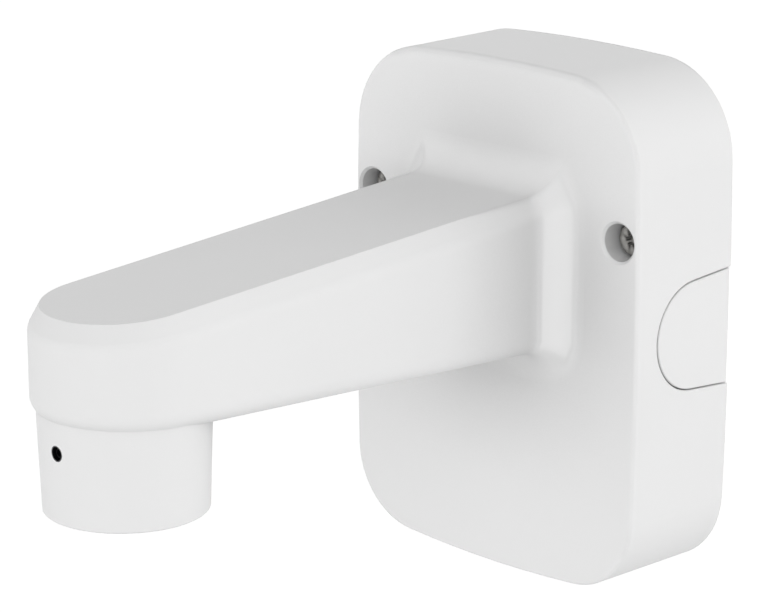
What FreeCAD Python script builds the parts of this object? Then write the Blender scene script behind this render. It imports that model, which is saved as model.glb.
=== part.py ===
import FreeCAD, Part
import Sketcher
import math
import os
import re

# Camera wall bracket: a hollow aluminium casting (wall box, arm and threaded collar) hung on a steel
# wall plate. The origin lies on the wall plane, in the middle of the box. The arm points along -Y,
# +Z is up, and the collar's axis is vertical. All sizes are millimetres.

os.makedirs("parts", exist_ok=True)
doc = FreeCAD.newDocument("camera_wall_bracket")
V = FreeCAD.Vector

# Driving dimensions: name, size, what it measures.
DIMENSIONS = [
    ("boxWidth", 150.0, "box, side to side at mid height"),
    ("boxHeight", 201.5, "box, top to bottom on the centre line"),
    ("boxDepth", 52.9, "wall to front face"),
    ("boxWall", 4.5, "wall thickness of the box"),
    ("boxDraft", 0.5, "how far the front outline lies inside the rear one"),
    ("topCornerRadius", 35.5, "upper corners"),
    ("bottomCornerRadius", 32.0, "lower corners"),
    ("topArchRadius", 775.0, "slight arch of the top edge"),
    ("bottomArchRadius", 570.0, "slight arch of the bottom edge"),
    ("sideArchRadius", 2300.0, "slight arch of the side edges"),
    ("frontEdgeRadius", 1.5, "rounding round the front face"),
    ("armRootHalfWidth", 34.4, "arm, half width at the box"),
    ("armTipRadius", 32.6, "round end of the arm, seen from above"),
    ("collarReach", 235.0, "wall to the collar's axis"),
    ("armTopAtBox", 54.4, "level of the top face at the box"),
    ("armTopAtCollar", 41.1, "level of the top face at the collar's axis"),
    ("armBottomAtBox", -8.2, "level of the underside at the box"),
    ("armBottomAtCollar", 0.0, "level of the underside at the collar's axis"),
    ("armBevelIn", 4.3, "bevel round the top face, measured inwards"),
    ("armBevelDown", 7.2, "bevel round the top face, measured down the side"),
    ("armBevelBlend", 6.0, "rounding where the bevel meets the side"),
    ("armBottomRound", 7.0, "rounding of the arm's lower edge"),
    ("armFlare", 14.0, "hollow fillet where the arm grows out of the box"),
    ("armWall", 5.0, "wall thickness of the arm"),
    ("ductBevel", 5.0, "bevelled corners of the cable duct"),
    ("collarTopRadius", 30.5, "collar, outside, where it leaves the arm"),
    ("collarBottomRadius", 29.3, "collar, outside, at its lower rim"),
    ("collarDrop", 33.9, "lower rim below the origin"),
    ("collarRimBevel", 0.4, "bevel of the lower rim"),
    ("collarBoreRadius", 23.9, "threaded bore, roots of the 1 1/2 inch pipe thread"),
    ("collarBoreLength", 31.0, "threaded length"),
    ("collarMouthBevel", 1.0, "lead-in bevel of the thread"),
    ("collarThroatRadius", 20.0, "cable passage above the thread"),
    ("setScrewDrop", 8.0, "set screw below the origin"),
    ("setScrewRadius", 2.45, "set screw's tapped hole"),
    ("setScrewLength", 5.0, "set screw"),
    ("setScrewSocket", 2.5, "width across the hexagon socket"),
    ("threadClearance", 0.05, "screw threads in their holes, on the radius"),
    ("ribSpread", 48.0, "centre line to each stiffening rib in the box"),
    ("ribThickness", 3.0, "stiffening ribs"),
    ("ribHeight", 6.0, "stiffening ribs, from the front wall rearwards"),
    ("ribEndGap", 16.75, "ribs' ends to the box's top and bottom"),
    ("fixingInset", 10.7, "box's side to each fixing screw"),
    ("fixingLevel", 39.9, "fixing screws above the origin"),
    ("fixingBoreRadius", 7.2, "counterbore over the screw head"),
    ("fixingRimBevel", 1.0, "bevel of the counterbore's mouth"),
    ("fixingHeadDepth", 7.4, "front face to the top of the screw head"),
    ("fixingHeadRadius", 6.0, "screw head"),
    ("fixingHeadHeight", 4.0, "screw head"),
    ("fixingShankRadius", 3.0, "M6 shank"),
    ("fixingShankLength", 22.0, "under the head"),
    ("fixingHoleClearance", 0.4, "shank in the casting's hole, on the radius"),
    ("fixingBossRadius", 9.6, "boss behind the front face"),
    ("fixingBossFloor", 4.0, "metal under the screw seal"),
    ("sealThickness", 0.8, "sealing washer under the head"),
    ("retainerThickness", 1.0, "washer that keeps the loosened screw"),
    ("retainerRadius", 5.5, "washer that keeps the loosened screw"),
    ("gasketThickness", 2.0, "foam between plate and wall"),
    ("plateThickness", 2.5, "steel wall plate"),
    ("plateClearance", 1.0, "plate's edge inside the box"),
    ("plateHoleSpanX", 90.0, "wall screw slots, across"),
    ("plateHoleSpanZ", 130.0, "wall screw slots, up"),
    ("plateSlotRadius", 3.5, "wall screw slots"),
    ("plateSlotLength", 13.0, "wall screw slots, end to end"),
    ("cableHoleRadius", 19.0, "cable hole in the plate"),
    ("grommetLip", 4.0, "how far the grommet's flanges reach past the hole"),
    ("grommetLipThickness", 1.6, "grommet's flanges"),
    ("grommetSkin", 1.2, "grommet's membrane"),
    ("grommetCableRadius", 4.0, "cable hole in the membrane"),
    ("postRadius", 4.6, "threaded post on the plate"),
    ("postGap", 6.2, "end of the threaded post to the retaining washer"),
    ("postSpigotRadius", 3.6, "pressed end of the post in the plate"),
    ("hookSpread", 30.0, "centre line to each hook"),
    ("hookWidth", 20.0, "hooks at the top of the plate"),
    ("hookDrop", 24.75, "box's top to the underside of the hook's shelf"),
    ("hookShelf", 9.0, "hook's shelf, plate to its upright"),
    ("hookRise", 10.0, "hook's upright above the shelf"),
    ("hookPlay", 0.3, "casting's tongue in the hook"),
    ("tongueThickness", 4.0, "tongue of the casting behind the hook's upright"),
    ("notchFront", 11.6, "front face to the cable entry's round end"),
    ("notchEndRadius", 21.4, "cable entry's round end"),
    ("notchMouthHalf", 23.0, "cable entry, half height at the wall"),
    ("notchLevel", 0.6, "middle of the cable entry above the origin"),
    ("entryEdgeBevel", 0.35, "outer edges of the entry and of its cover"),
    ("coverGap", 0.5, "side cover in its entry"),
    ("coverNeckInset", 0.6, "neck between cover and flange, inside the cover's outline"),
    ("coverFlangeOverlap", 3.0, "flange past the entry's edge"),
    ("coverFlangeThickness", 2.0, "flange behind the side wall"),
    ("coverSealThickness", 1.0, "seal between flange and side wall"),
    ("coverSeat", 0.25, "seal off the gently arched side wall"),
    ("railPlay", 0.3, "flange in its rails"),
    ("railThickness", 2.0, "guide rails of the cover"),
    ("railLip", 2.5, "rail's lip over the flange"),
    ("railFrontGap", 5.3, "rails' front end behind the entry's round end"),
    ("earthDrop", 58.0, "earth terminal below the origin"),
    ("earthBossRadius", 5.0, "earth terminal's boss"),
    ("earthBossHeight", 8.0, "earth terminal's boss"),
    ("earthScrewRadius", 2.0, "M4 shank"),
    ("earthScrewLength", 7.0, "under the head"),
    ("earthHeadRadius", 3.8, "earth screw's head"),
    ("earthHeadHeight", 2.6, "earth screw's head"),
    ("earthWasherRadius", 4.4, "toothed washer"),
    ("earthWasherThickness", 0.8, "toothed washer"),
    ("gasketClearance", 0.5, "foam round the grommet and the wall screws"),
    ("grommetPlay", 0.1, "grommet's groove on the plate"),
    ("pressPlay", 0.02, "post's spigot in the plate"),
    ("postBoreDepth", 16.0, "tapped bore of the post"),
    ("screwEndBevel", 0.6, "end of the screws' shanks"),
    ("headEdgeBevel", 0.5, "edge of the screws' heads"),
    ("driveCoreRadius", 2.0, "six-lobe drive, core"),
    ("driveLobeReach", 2.15, "six-lobe drive, centre of a lobe"),
    ("driveLobeRadius", 0.65, "six-lobe drive, lobe"),
    ("driveDepth", 2.2, "six-lobe drive"),
    ("sealPlay", 0.1, "washers on their shanks"),
    ("setScrewCup", 0.8, "set screw's cup point"),
    ("setScrewRecess", 1.6, "set screw below the collar's surface under the arm"),
    ("hookBendRadius", 2.4, "outer bend of the hooks"),
    ("earthSlotWidth", 1.1, "earth screw's cross drive"),
    ("earthSlotLength", 4.6, "earth screw's cross drive"),
]

sheet = doc.addObject("Spreadsheet::Sheet", "Sizes")
for row, (name, size, note) in enumerate(DIMENSIONS, start=1):
    sheet.set(f"A{row}", name)
    sheet.set(f"B{row}", str(size))
    sheet.set(f"C{row}", note)
    sheet.setAlias(f"B{row}", name)
doc.recompute()

# Places that several pieces share. Each word in a formula is a size of the sheet.
BOX_FLOOR = "(boxDepth - boxWall)"
SIDE_INNER = "(boxWidth / 2 - boxWall)"
PLATE_FRONT = "(gasketThickness + plateThickness)"
SCREW_SEAT = "(boxDepth - fixingHeadDepth - fixingHeadHeight)"
SEAL_SEAT = "(boxDepth - fixingHeadDepth - fixingHeadHeight - sealThickness)"
BOSS_REAR = "(boxDepth - fixingHeadDepth - fixingHeadHeight - sealThickness - fixingBossFloor)"
TOP_SLOPE = "((armTopAtBox - armTopAtCollar) / (collarReach - boxDepth))"
BOTTOM_SLOPE = "((armBottomAtCollar - armBottomAtBox) / (collarReach - boxDepth))"
DUCT_RADIUS = "(armTipRadius - armWall)"
DUCT_FLOOR = "(armBottomAtCollar + armWall)"
FIXING_X = "(boxWidth / 2 - fixingInset)"
RETAINER_REAR = f"({BOSS_REAR} - retainerThickness)"
POST_LENGTH = f"({RETAINER_REAR} - postGap - {PLATE_FRONT})"
NOTCH_REACH = "(boxDepth - notchFront)"
NOTCH_CENTRE = "(boxDepth - notchFront - notchEndRadius)"
COVER_REAR = "(gasketThickness + plateThickness + railPlay)"
FLANGE_HALF = "(notchMouthHalf + coverFlangeOverlap)"
FLANGE_OUTER = "(boxWidth / 2 - boxWall - coverSeat - coverSealThickness)"
HOOK_LEVEL = "(boxHeight / 2 - hookDrop)"
HOOK_UPRIGHT = "(gasketThickness + plateThickness + hookShelf)"
HOOK_INNER = "(hookSpread - hookWidth / 2)"
HOOK_OUTER = "(hookSpread + hookWidth / 2)"
SHELF_TOP = f"({HOOK_LEVEL} + plateThickness)"
HOOK_TOP = f"({HOOK_LEVEL} + plateThickness + hookRise)"
EARTH_SEAT = "(boxDepth - boxWall - earthBossHeight)"


def sized(formula):
    """The formula as an expression, with each word pointing to its cell."""
    return re.sub(r"[A-Za-z]\w*", r"Sizes.\g<0>", formula)


def number(formula):
    """The formula's present value."""
    return float(sheet.evalExpression(sized(formula)))


def arm_top(reach):
    """Level of the arm's top face at a distance from the wall."""
    return f"(armTopAtBox - {TOP_SLOPE} * ({reach} - boxDepth))"


def arm_bottom(reach):
    """Level of the arm's underside at a distance from the wall."""
    return f"(armBottomAtBox + {BOTTOM_SLOPE} * ({reach} - boxDepth))"


def corner_centre(arch_centre, arch_radius, side_centre, side_radius, corner_radius):
    """Centre of the corner arc that touches the arch and the side from inside."""
    from_arch = arch_radius - corner_radius
    from_side = side_radius - corner_radius
    span = math.hypot(side_centre, arch_centre)
    along = (from_arch ** 2 - from_side ** 2 + span ** 2) / (2 * span)
    off = math.sqrt(from_arch ** 2 - along ** 2)
    ux, uz = side_centre / span, -arch_centre / span
    middle = (along * ux, arch_centre + along * uz)
    crossings = [(middle[0] - off * uz * way, middle[1] + off * ux * way) for way in (1, -1)]
    return max(crossings)


def tangent_angle(centre, radius, point):
    """Where a line from the point touches the upper side of the circle, as an angle."""
    across, up = point[0] - centre[0], point[1] - centre[1]
    return math.atan2(up, across) + math.acos(radius / math.hypot(across, up))


class Drawing:
    """A sketch on one of its body's own planes, with each size tied to the sheet."""

    def __init__(self, body, name, plane, lift="0", shift="0"):
        self.sketch = body.newObject("Sketcher::SketchObject", name)
        support = next(f for f in body.Origin.OriginFeatures if f.Role == plane)
        self.sketch.AttachmentSupport = [(support, "")]
        self.sketch.MapMode = "FlatFace"
        self.sketch.setExpression(".AttachmentOffset.Base.z", sized(lift))
        self.sketch.setExpression(".AttachmentOffset.Base.x", sized(shift))
        self.limits = 0

    def limit(self, kind, *where):
        """A constraint whose value follows the formula given last."""
        formula = where[-1]
        index = self.sketch.addConstraint(Sketcher.Constraint(kind, *where[:-1], number(formula)))
        self.limits += 1
        name = f"size{self.limits}"
        self.sketch.renameConstraint(index, name)
        self.sketch.setExpression(f"Constraints.{name}", sized(formula))

    def join(self, kind, *where):
        self.sketch.addConstraint(Sketcher.Constraint(kind, *where))

    def pin(self, shape, point, place):
        """Ties one point of a line or arc to a pair of formulas."""
        self.limit("DistanceX", -1, 1, shape, point, place[0])
        self.limit("DistanceY", -1, 1, shape, point, place[1])

    def line(self, start, end):
        return self.sketch.addGeometry(Part.LineSegment(V(*start, 0), V(*end, 0)), False)

    def arc(self, centre, radius, start, end):
        circle = Part.Circle(V(*centre, 0), V(0, 0, 1), radius)
        return self.sketch.addGeometry(Part.ArcOfCircle(circle, start, end), False)

    def smooth_chain(self, pieces):
        """Each piece runs on into the next without a corner, and the last into the first."""
        for piece, following in zip(pieces, pieces[1:] + pieces[:1]):
            self.join("Tangent", piece, 2, following, 1)

    def polygon(self, corners):
        """A closed outline of straight sides."""
        points = [(number(across), number(up)) for across, up in corners]
        sides = [self.line(*ends) for ends in zip(points, points[1:] + points[:1])]
        for side, following in zip(sides, sides[1:] + sides[:1]):
            self.join("Coincident", side, 2, following, 1)
        for side, corner in zip(sides, corners):
            self.pin(side, 1, corner)
        return self

    def circle(self, centre, radius):
        place = V(number(centre[0]), number(centre[1]), 0)
        ring = self.sketch.addGeometry(Part.Circle(place, V(0, 0, 1), number(radius)), False)
        self.pin(ring, 3, centre)
        self.limit("Radius", ring, radius)
        return self

    def level_slot(self, centre, radius, length):
        """A slot with round ends, along the first axis."""
        right_end = (f"{centre[0]} + {length} / 2 - {radius}", centre[1])
        left_end = (f"{centre[0]} - {length} / 2 + {radius}", centre[1])
        right, left, r = number(right_end[0]), number(left_end[0]), number(radius)
        level = number(centre[1])
        turn = math.pi / 2
        right_arc = self.arc((right, level), r, -turn, turn)
        top = self.line((right, level + r), (left, level + r))
        left_arc = self.arc((left, level), r, turn, 3 * turn)
        bottom = self.line((left, level - r), (right, level - r))
        self.smooth_chain([right_arc, top, left_arc, bottom])
        self.pin(right_arc, 3, right_end)
        self.limit("DistanceX", -1, 1, left_arc, 3, left_end[0])
        self.limit("DistanceY", -1, 1, left_arc, 3, left_end[1])
        self.limit("Radius", right_arc, radius)
        return self

    def box_outline(self, inset):
        """The box's outline: eight tangent arcs, all drawn in by the same inset."""
        inward = number(inset)
        arch_centre = number("boxHeight / 2 - topArchRadius")
        keel_centre = number("bottomArchRadius - boxHeight / 2")
        side_centre = number("boxWidth / 2 - sideArchRadius")
        arch_r = number("topArchRadius") - inward
        keel_r = number("bottomArchRadius") - inward
        side_r = number("sideArchRadius") - inward
        upper_r = number("topCornerRadius") - inward
        lower_r = number("bottomCornerRadius") - inward
        ux, uz = corner_centre(arch_centre, arch_r, side_centre, side_r, upper_r)
        lx, lz = corner_centre(-keel_centre, keel_r, side_centre, side_r, lower_r)
        rise = math.atan2(uz, ux - side_centre)
        fall = math.atan2(lz, lx - side_centre)
        lean = math.atan2(uz - arch_centre, ux)
        sag = math.atan2(lz + keel_centre, lx)
        half_turn = math.pi
        right = self.arc((side_centre, 0), side_r, -fall, rise)
        upper_right = self.arc((ux, uz), upper_r, rise, lean)
        arch = self.arc((0, arch_centre), arch_r, lean, half_turn - lean)
        upper_left = self.arc((-ux, uz), upper_r, half_turn - lean, half_turn - rise)
        left = self.arc((-side_centre, 0), side_r, half_turn - rise, half_turn + fall)
        lower_left = self.arc((-lx, -lz), lower_r, half_turn + fall, half_turn + sag)
        keel = self.arc((0, keel_centre), keel_r, half_turn + sag, 2 * half_turn - sag)
        lower_right = self.arc((lx, -lz), lower_r, -sag, -fall)
        self.smooth_chain([right, upper_right, arch, upper_left, left, lower_left, keel, lower_right])
        self.pin(right, 3, ("boxWidth / 2 - sideArchRadius", "0"))
        self.pin(left, 3, ("sideArchRadius - boxWidth / 2", "0"))
        self.pin(arch, 3, ("0", "boxHeight / 2 - topArchRadius"))
        self.pin(keel, 3, ("0", "bottomArchRadius - boxHeight / 2"))
        radii = {
            "topArchRadius": (arch,),
            "bottomArchRadius": (keel,),
            "sideArchRadius": (right, left),
            "topCornerRadius": (upper_right, upper_left),
            "bottomCornerRadius": (lower_right, lower_left),
        }
        for radius, arcs in radii.items():
            for piece in arcs:
                self.limit("Radius", piece, f"{radius} - {inset}")
        return self

    def tongue(self, centre, radius, mouth, half):
        """A U lying along the first axis: a round end, and sides that run to a straight mouth."""
        middle, level = number(centre[0]), number(centre[1])
        r, open_at, spread = number(radius), number(mouth), number(half)
        touch = tangent_angle((middle, level), r, (open_at, level + spread))
        reach, rise = middle + r * math.cos(touch), r * math.sin(touch)
        end = self.arc((middle, level), r, touch, 2 * math.pi - touch)
        out = self.line((reach, level - rise), (open_at, level - spread))
        across = self.line((open_at, level - spread), (open_at, level + spread))
        back = self.line((open_at, level + spread), (reach, level + rise))
        self.join("Tangent", end, 2, out, 1)
        self.join("Coincident", out, 2, across, 1)
        self.join("Coincident", across, 2, back, 1)
        self.join("Tangent", back, 2, end, 1)
        self.pin(across, 1, (mouth, f"{centre[1]} - {half}"))
        self.pin(across, 2, (mouth, f"{centre[1]} + {half}"))
        self.pin(end, 3, centre)
        self.limit("Radius", end, radius)
        return self

    def arm_outline(self, root, half, reach, radius):
        """The arm from above: a straight root, sides that narrow a little, and a round tip."""
        start, w, tip, r = number(root), number(half), number(reach), number(radius)
        touch = tangent_angle((0, -tip), r, (w, -start)) - 2 * math.acos(
            r / math.hypot(w, tip - start)
        )
        across, along = r * math.cos(touch), -tip + r * math.sin(touch)
        end = self.arc((0, -tip), r, math.pi - touch, 2 * math.pi + touch)
        right = self.line((across, along), (w, -start))
        base = self.line((w, -start), (-w, -start))
        left = self.line((-w, -start), (-across, along))
        self.join("Tangent", end, 2, right, 1)
        self.join("Coincident", right, 2, base, 1)
        self.join("Coincident", base, 2, left, 1)
        self.join("Tangent", left, 2, end, 1)
        self.pin(base, 1, (half, f"-{root}"))
        self.pin(base, 2, (f"-{half}", f"-{root}"))
        self.pin(end, 3, ("0", f"-{reach}"))
        self.limit("Radius", end, radius)
        return self


def new_body(label):
    body = doc.addObject("PartDesign::Body", label)
    body.Label = label
    return body


def solid_volume(body):
    shape = body.Shape
    return 0.0 if shape.isNull() else shape.Volume


def feature(body, kind, name, profile, sizes=None, **settings):
    """One more feature of the body, which must add or remove some of it."""
    before = solid_volume(body)
    item = body.newObject("PartDesign::" + kind, name)
    item.Profile = profile.sketch
    for key, setting in settings.items():
        setattr(item, key, setting)
    for key, formula in (sizes or {}).items():
        item.setExpression(key, sized(formula))
    doc.recompute()
    if abs(solid_volume(body) - before) < 0.01:
        raise RuntimeError(f"{body.Label}: {name} changed nothing")
    if len(body.Shape.Solids) != 1:
        raise RuntimeError(f"{body.Label}: {name} left more than one solid")
    return item


def dress(body, kind, name, test, sizes, **settings):
    """A fillet or chamfer on the edges of the body's last feature that pass the test."""
    base = body.Tip
    names = [f"Edge{i}" for i, edge in enumerate(base.Shape.Edges, start=1) if test(points_on(edge))]
    item = body.newObject("PartDesign::" + kind, name)
    item.Base = (base, names)
    for key, setting in settings.items():
        setattr(item, key, setting)
    for key, formula in sizes.items():
        item.setExpression(key, sized(formula))
    doc.recompute()
    return item


def points_on(edge):
    """Five points spread along an edge."""
    first, last = edge.ParameterRange
    return [edge.valueAt(first + (last - first) * step / 4) for step in range(5)]


def round_profile(body, name, corners, plane="XZ_Plane", **places):
    """A half section about the upright axis."""
    return Drawing(body, name, plane, **places).polygon(corners)


def turned(body, name, corners, **places):
    """A solid of revolution about the upright axis."""
    profile = round_profile(body, name + "Section", corners, **places)
    return feature(body, "Revolution", name, profile, ReferenceAxis=(profile.sketch, ["V_Axis"]))


NEAR = 0.02
SIDES = {"left": "-", "right": ""}


# The casting's arm: seen from above a tongue with a round tip, cut to two slopes, with a steep bevel
# round its top face and a rounded lower edge.
casting = new_body("bracket_casting")
ARM_ROOT = "(boxDepth - boxWall / 2)"
plan = Drawing(casting, "ArmPlan", "XY_Plane")
plan.arm_outline(ARM_ROOT, "armRootHalfWidth", "collarReach", "armTipRadius")
feature(casting, "Pad", "ArmBlock", plan, {"Length": "4 * armTopAtBox"}, SideType="Symmetric")

FAR = "(collarReach + 2 * armTipRadius)"
for name, level, beyond in (
    ("ArmTop", arm_top, "3 * armTopAtBox"),
    ("ArmUnderside", arm_bottom, "-3 * armTopAtBox"),
):
    side_view = Drawing(casting, name + "Line", "YZ_Plane")
    side_view.polygon([("0", level("0")), (f"-{FAR}", level(FAR)), (f"-{FAR}", beyond), ("0", beyond)])
    feature(casting, "Pocket", name, side_view, {"Length": "4 * armRootHalfWidth"}, SideType="Symmetric")

root_line = -number(ARM_ROOT)
top_slope, top_at_wall = number(TOP_SLOPE), number(arm_top("0"))
bottom_slope, bottom_at_wall = number(BOTTOM_SLOPE), number(arm_bottom("0"))
bevel_down = number("armBevelDown")


def off_root(points):
    return min(p.y for p in points) < root_line - NEAR


def below_top(point):
    return top_at_wall + top_slope * point.y - point.z


def above_underside(point):
    return point.z - (bottom_at_wall - bottom_slope * point.y)


def top_edge(points):
    return off_root(points) and all(abs(below_top(p)) < NEAR for p in points)


def bevel_foot(points):
    depths = [below_top(p) for p in points]
    level_enough = max(depths) - min(depths) < bevel_down / 4
    return off_root(points) and level_enough and bevel_down / 2 < min(depths) < bevel_down * 3 / 2


def bottom_edge(points):
    return off_root(points) and all(abs(above_underside(p)) < NEAR for p in points)


dress(
    casting, "Chamfer", "ArmBevel", top_edge,
    {"Size": "armBevelIn", "Size2": "armBevelDown"}, ChamferType="Two distances", FlipDirection=True,
)
dress(casting, "Fillet", "ArmBevelBlend", bevel_foot, {"Radius": "armBevelBlend"})
dress(casting, "Fillet", "ArmLowerEdge", bottom_edge, {"Radius": "armBottomRound"})

# The box: an arched outline that draws in a little towards the front.
rear_outline = Drawing(casting, "BoxRear", "XZ_Plane").box_outline("0")
front_outline = Drawing(casting, "BoxFront", "XZ_Plane", "boxDepth").box_outline("boxDraft")
feature(casting, "AdditiveLoft", "Box", rear_outline, Sections=[front_outline.sketch])

front_face = -number("boxDepth")
arm_half = number("armRootHalfWidth") + NEAR


def on_front(points):
    return all(abs(p.y - front_face) < NEAR for p in points)


def round_the_arm(points):
    return on_front(points) and all(
        abs(p.x) < arm_half and below_top(p) > -NEAR and above_underside(p) > -NEAR for p in points
    )


def round_the_front(points):
    return on_front(points) and not round_the_arm(points)


dress(casting, "Fillet", "FrontEdge", round_the_front, {"Radius": "frontEdgeRadius"})
dress(casting, "Fillet", "ArmFlare", round_the_arm, {"Radius": "armFlare"})

# The collar under the arm's tip, slightly narrower at its rim.
rim_level = -number("collarDrop")
turned(
    casting, "Collar",
    [
        ("0", "-collarDrop"),
        ("collarBottomRadius", "-collarDrop"),
        ("collarTopRadius", "armBottomAtCollar"),
        ("collarTopRadius", "armBottomAtCollar + armBottomRound"),
        ("0", "armBottomAtCollar + armBottomRound"),
    ],
    plane="YZ_Plane", shift="-collarReach",
)
dress(
    casting, "Chamfer", "CollarRim", lambda points: all(abs(p.z - rim_level) < NEAR for p in points),
    {"Size": "collarRimBevel"},
)

# The hollow: the box's cavity, the cable duct through the arm, its round end above the collar, and
# the threaded bore with a narrower throat that stops the pipe.
cavity = Drawing(casting, "CavityOutline", "XZ_Plane").box_outline("boxWall")
feature(casting, "Pocket", "Cavity", cavity, {"Length": BOX_FLOOR}, Reversed=True)

DUCT_START = "(boxDepth - 2 * boxWall)"
DUCT_CEILING = "(armTopAtCollar - armWall)"


def duct_side(half, underside, top):
    """One side of the duct's section with its two bevels, inside the arm's outline, from the floor up."""
    return [
        (f"{half} - ductBevel", f"{underside} + armWall"),
        (half, f"{underside} + armWall + ductBevel"),
        (half, f"{top} - armWall - ductBevel"),
        (f"{half} - ductBevel", f"{top} - armWall"),
    ]


def both_sides(side):
    """The side's corners, and the same ones mirrored, as one closed outline."""
    return side + [(f"-({across})", up) for across, up in reversed(side)]


duct_root = duct_side("(armRootHalfWidth - armWall)", arm_bottom(DUCT_START), arm_top(DUCT_START))
duct_tip = duct_side(DUCT_RADIUS, "armBottomAtCollar", "armTopAtCollar")
root_section = Drawing(casting, "DuctRoot", "XZ_Plane", DUCT_START).polygon(both_sides(duct_root))
tip_section = Drawing(casting, "DuctTip", "XZ_Plane", "collarReach").polygon(both_sides(duct_tip))
feature(casting, "SubtractiveLoft", "Duct", root_section, Sections=[tip_section.sketch])
duct_end = round_profile(
    casting, "DuctEndSection", [("0", DUCT_FLOOR), *duct_tip, ("0", DUCT_CEILING)],
    plane="YZ_Plane", shift="-collarReach",
)
feature(casting, "Groove", "DuctEnd", duct_end, ReferenceAxis=(duct_end.sketch, ["V_Axis"]))
bore = round_profile(
    casting, "CollarBoreSection",
    [
        ("0", "-collarDrop"),
        ("collarBoreRadius + collarMouthBevel", "-collarDrop"),
        ("collarBoreRadius", "collarMouthBevel - collarDrop"),
        ("collarBoreRadius", "collarBoreLength - collarDrop"),
        ("collarThroatRadius", "collarBoreLength - collarDrop"),
        ("collarThroatRadius", DUCT_FLOOR),
        ("0", DUCT_FLOOR),
    ],
    plane="YZ_Plane", shift="-collarReach",
)
feature(casting, "Groove", "CollarBore", bore, ReferenceAxis=(bore.sketch, ["V_Axis"]))
set_hole = Drawing(casting, "SetScrewPlace", "XZ_Plane", "collarReach")
set_hole.circle(("0", "-setScrewDrop"), "setScrewRadius + threadClearance")
feature(casting, "Pocket", "SetScrewHole", set_hole, {"Length": "2 * collarTopRadius"}, Reversed=True)

# Bosses behind the front face: two for the fixing screws, one for the earth terminal.
bosses = Drawing(casting, "FixingBossPlan", "XZ_Plane", BOSS_REAR)
for sign in SIDES.values():
    bosses.circle((f"{sign}{FIXING_X}", "fixingLevel"), "fixingBossRadius")
feature(casting, "Pad", "FixingBosses", bosses, {"Length": f"boxDepth - boxWall / 2 - {BOSS_REAR}"})
RIB_REAR = f"({BOX_FLOOR} - ribHeight)"
RIB_END = "(boxHeight / 2 - ribEndGap)"
ribs = Drawing(casting, "RibPlan", "XZ_Plane", RIB_REAR)
for sign in SIDES.values():
    inner_face, outer_face = f"{sign}ribSpread", f"{sign}(ribSpread + ribThickness)"
    ribs.polygon([
        (inner_face, f"-{RIB_END}"), (outer_face, f"-{RIB_END}"),
        (outer_face, RIB_END), (inner_face, RIB_END),
    ])
feature(casting, "Pad", "Ribs", ribs, {"Length": "ribHeight + boxWall / 2"})
earth_boss = Drawing(casting, "EarthBossPlan", "XZ_Plane", EARTH_SEAT)
earth_boss.circle(("0", "-earthDrop"), "earthBossRadius")
feature(casting, "Pad", "EarthBoss", earth_boss, {"Length": "earthBossHeight + boxWall / 2"})
earth_hole = Drawing(casting, "EarthHolePlan", "XZ_Plane", EARTH_SEAT)
earth_hole.circle(("0", "-earthDrop"), "earthScrewRadius + threadClearance")
feature(casting, "Pocket", "EarthHole", earth_hole, {"Length": "earthBossHeight"}, Reversed=True)

holes = Drawing(casting, "FixingPlaces", "XZ_Plane", "boxDepth")
for sign in SIDES.values():
    holes.circle((f"{sign}{FIXING_X}", "fixingLevel"), "fixingBoreRadius")
doc.recompute()
feature(
    casting, "Hole", "FixingHoles", holes,
    {
        "Diameter": "2 * (fixingShankRadius + fixingHoleClearance)",
        "HoleCutDiameter": "2 * fixingBoreRadius",
        "HoleCutDepth": f"boxDepth - {SEAL_SEAT}",
    },
    ThreadType="None", DepthType="ThroughAll", HoleCutType="Counterbore", HoleCutCustomValues=True,
)
bore_radius, spread, level = number("fixingBoreRadius"), number(FIXING_X), number("fixingLevel")


def counterbore_mouth(points):
    return on_front(points) and all(
        abs(math.hypot(abs(p.x) - spread, p.z - level) - bore_radius) < NEAR for p in points
    )


dress(casting, "Chamfer", "FixingRims", counterbore_mouth, {"Size": "fixingRimBevel"})

# U-shaped cable entries through both side walls, open to the wall.
notch = Drawing(casting, "EntryOutline", "YZ_Plane")
notch.tongue((f"-{NOTCH_CENTRE}", "notchLevel"), "notchEndRadius", "0", "notchMouthHalf")
feature(casting, "Pocket", "CableEntries", notch, {"Length": "2 * boxWidth"}, SideType="Symmetric")

outer_skin = number(f"{SIDE_INNER} + boxWall / 2")
entry_low = number("notchLevel - notchMouthHalf") - NEAR
entry_high = number("notchLevel + notchMouthHalf") + NEAR
entry_end = -number(NOTCH_REACH) - NEAR


def outer_entry_edge(points):
    return all(
        abs(p.x) > outer_skin and p.y > entry_end and entry_low < p.z < entry_high for p in points
    )


dress(casting, "Chamfer", "EntryEdges", outer_entry_edge, {"Size": "entryEdgeBevel"})

# Rails inside the side walls, L-shaped in section, that the covers' flanges slide into.
RAIL_NEAR = f"({FLANGE_OUTER} - coverFlangeThickness - railPlay)"
RAIL_INNER = f"({RAIL_NEAR} - railThickness)"
RAIL_FOOT = f"({SIDE_INNER} + boxWall / 2)"
RAIL_EDGE = f"({FLANGE_HALF} + railPlay)"
RAIL_BACK = f"({FLANGE_HALF} + railPlay + railThickness)"
LIP_EDGE = f"({FLANGE_HALF} - railLip)"
rails = Drawing(casting, "RailSections", "XZ_Plane", COVER_REAR)
for sign in SIDES.values():
    for way in ("", "-"):
        rails.polygon([
            (f"{sign}{RAIL_FOOT}", f"notchLevel + {way}{RAIL_EDGE}"),
            (f"{sign}{RAIL_FOOT}", f"notchLevel + {way}{RAIL_BACK}"),
            (f"{sign}{RAIL_INNER}", f"notchLevel + {way}{RAIL_BACK}"),
            (f"{sign}{RAIL_INNER}", f"notchLevel + {way}{LIP_EDGE}"),
            (f"{sign}{RAIL_NEAR}", f"notchLevel + {way}{LIP_EDGE}"),
            (f"{sign}{RAIL_NEAR}", f"notchLevel + {way}{RAIL_EDGE}"),
        ])
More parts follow.
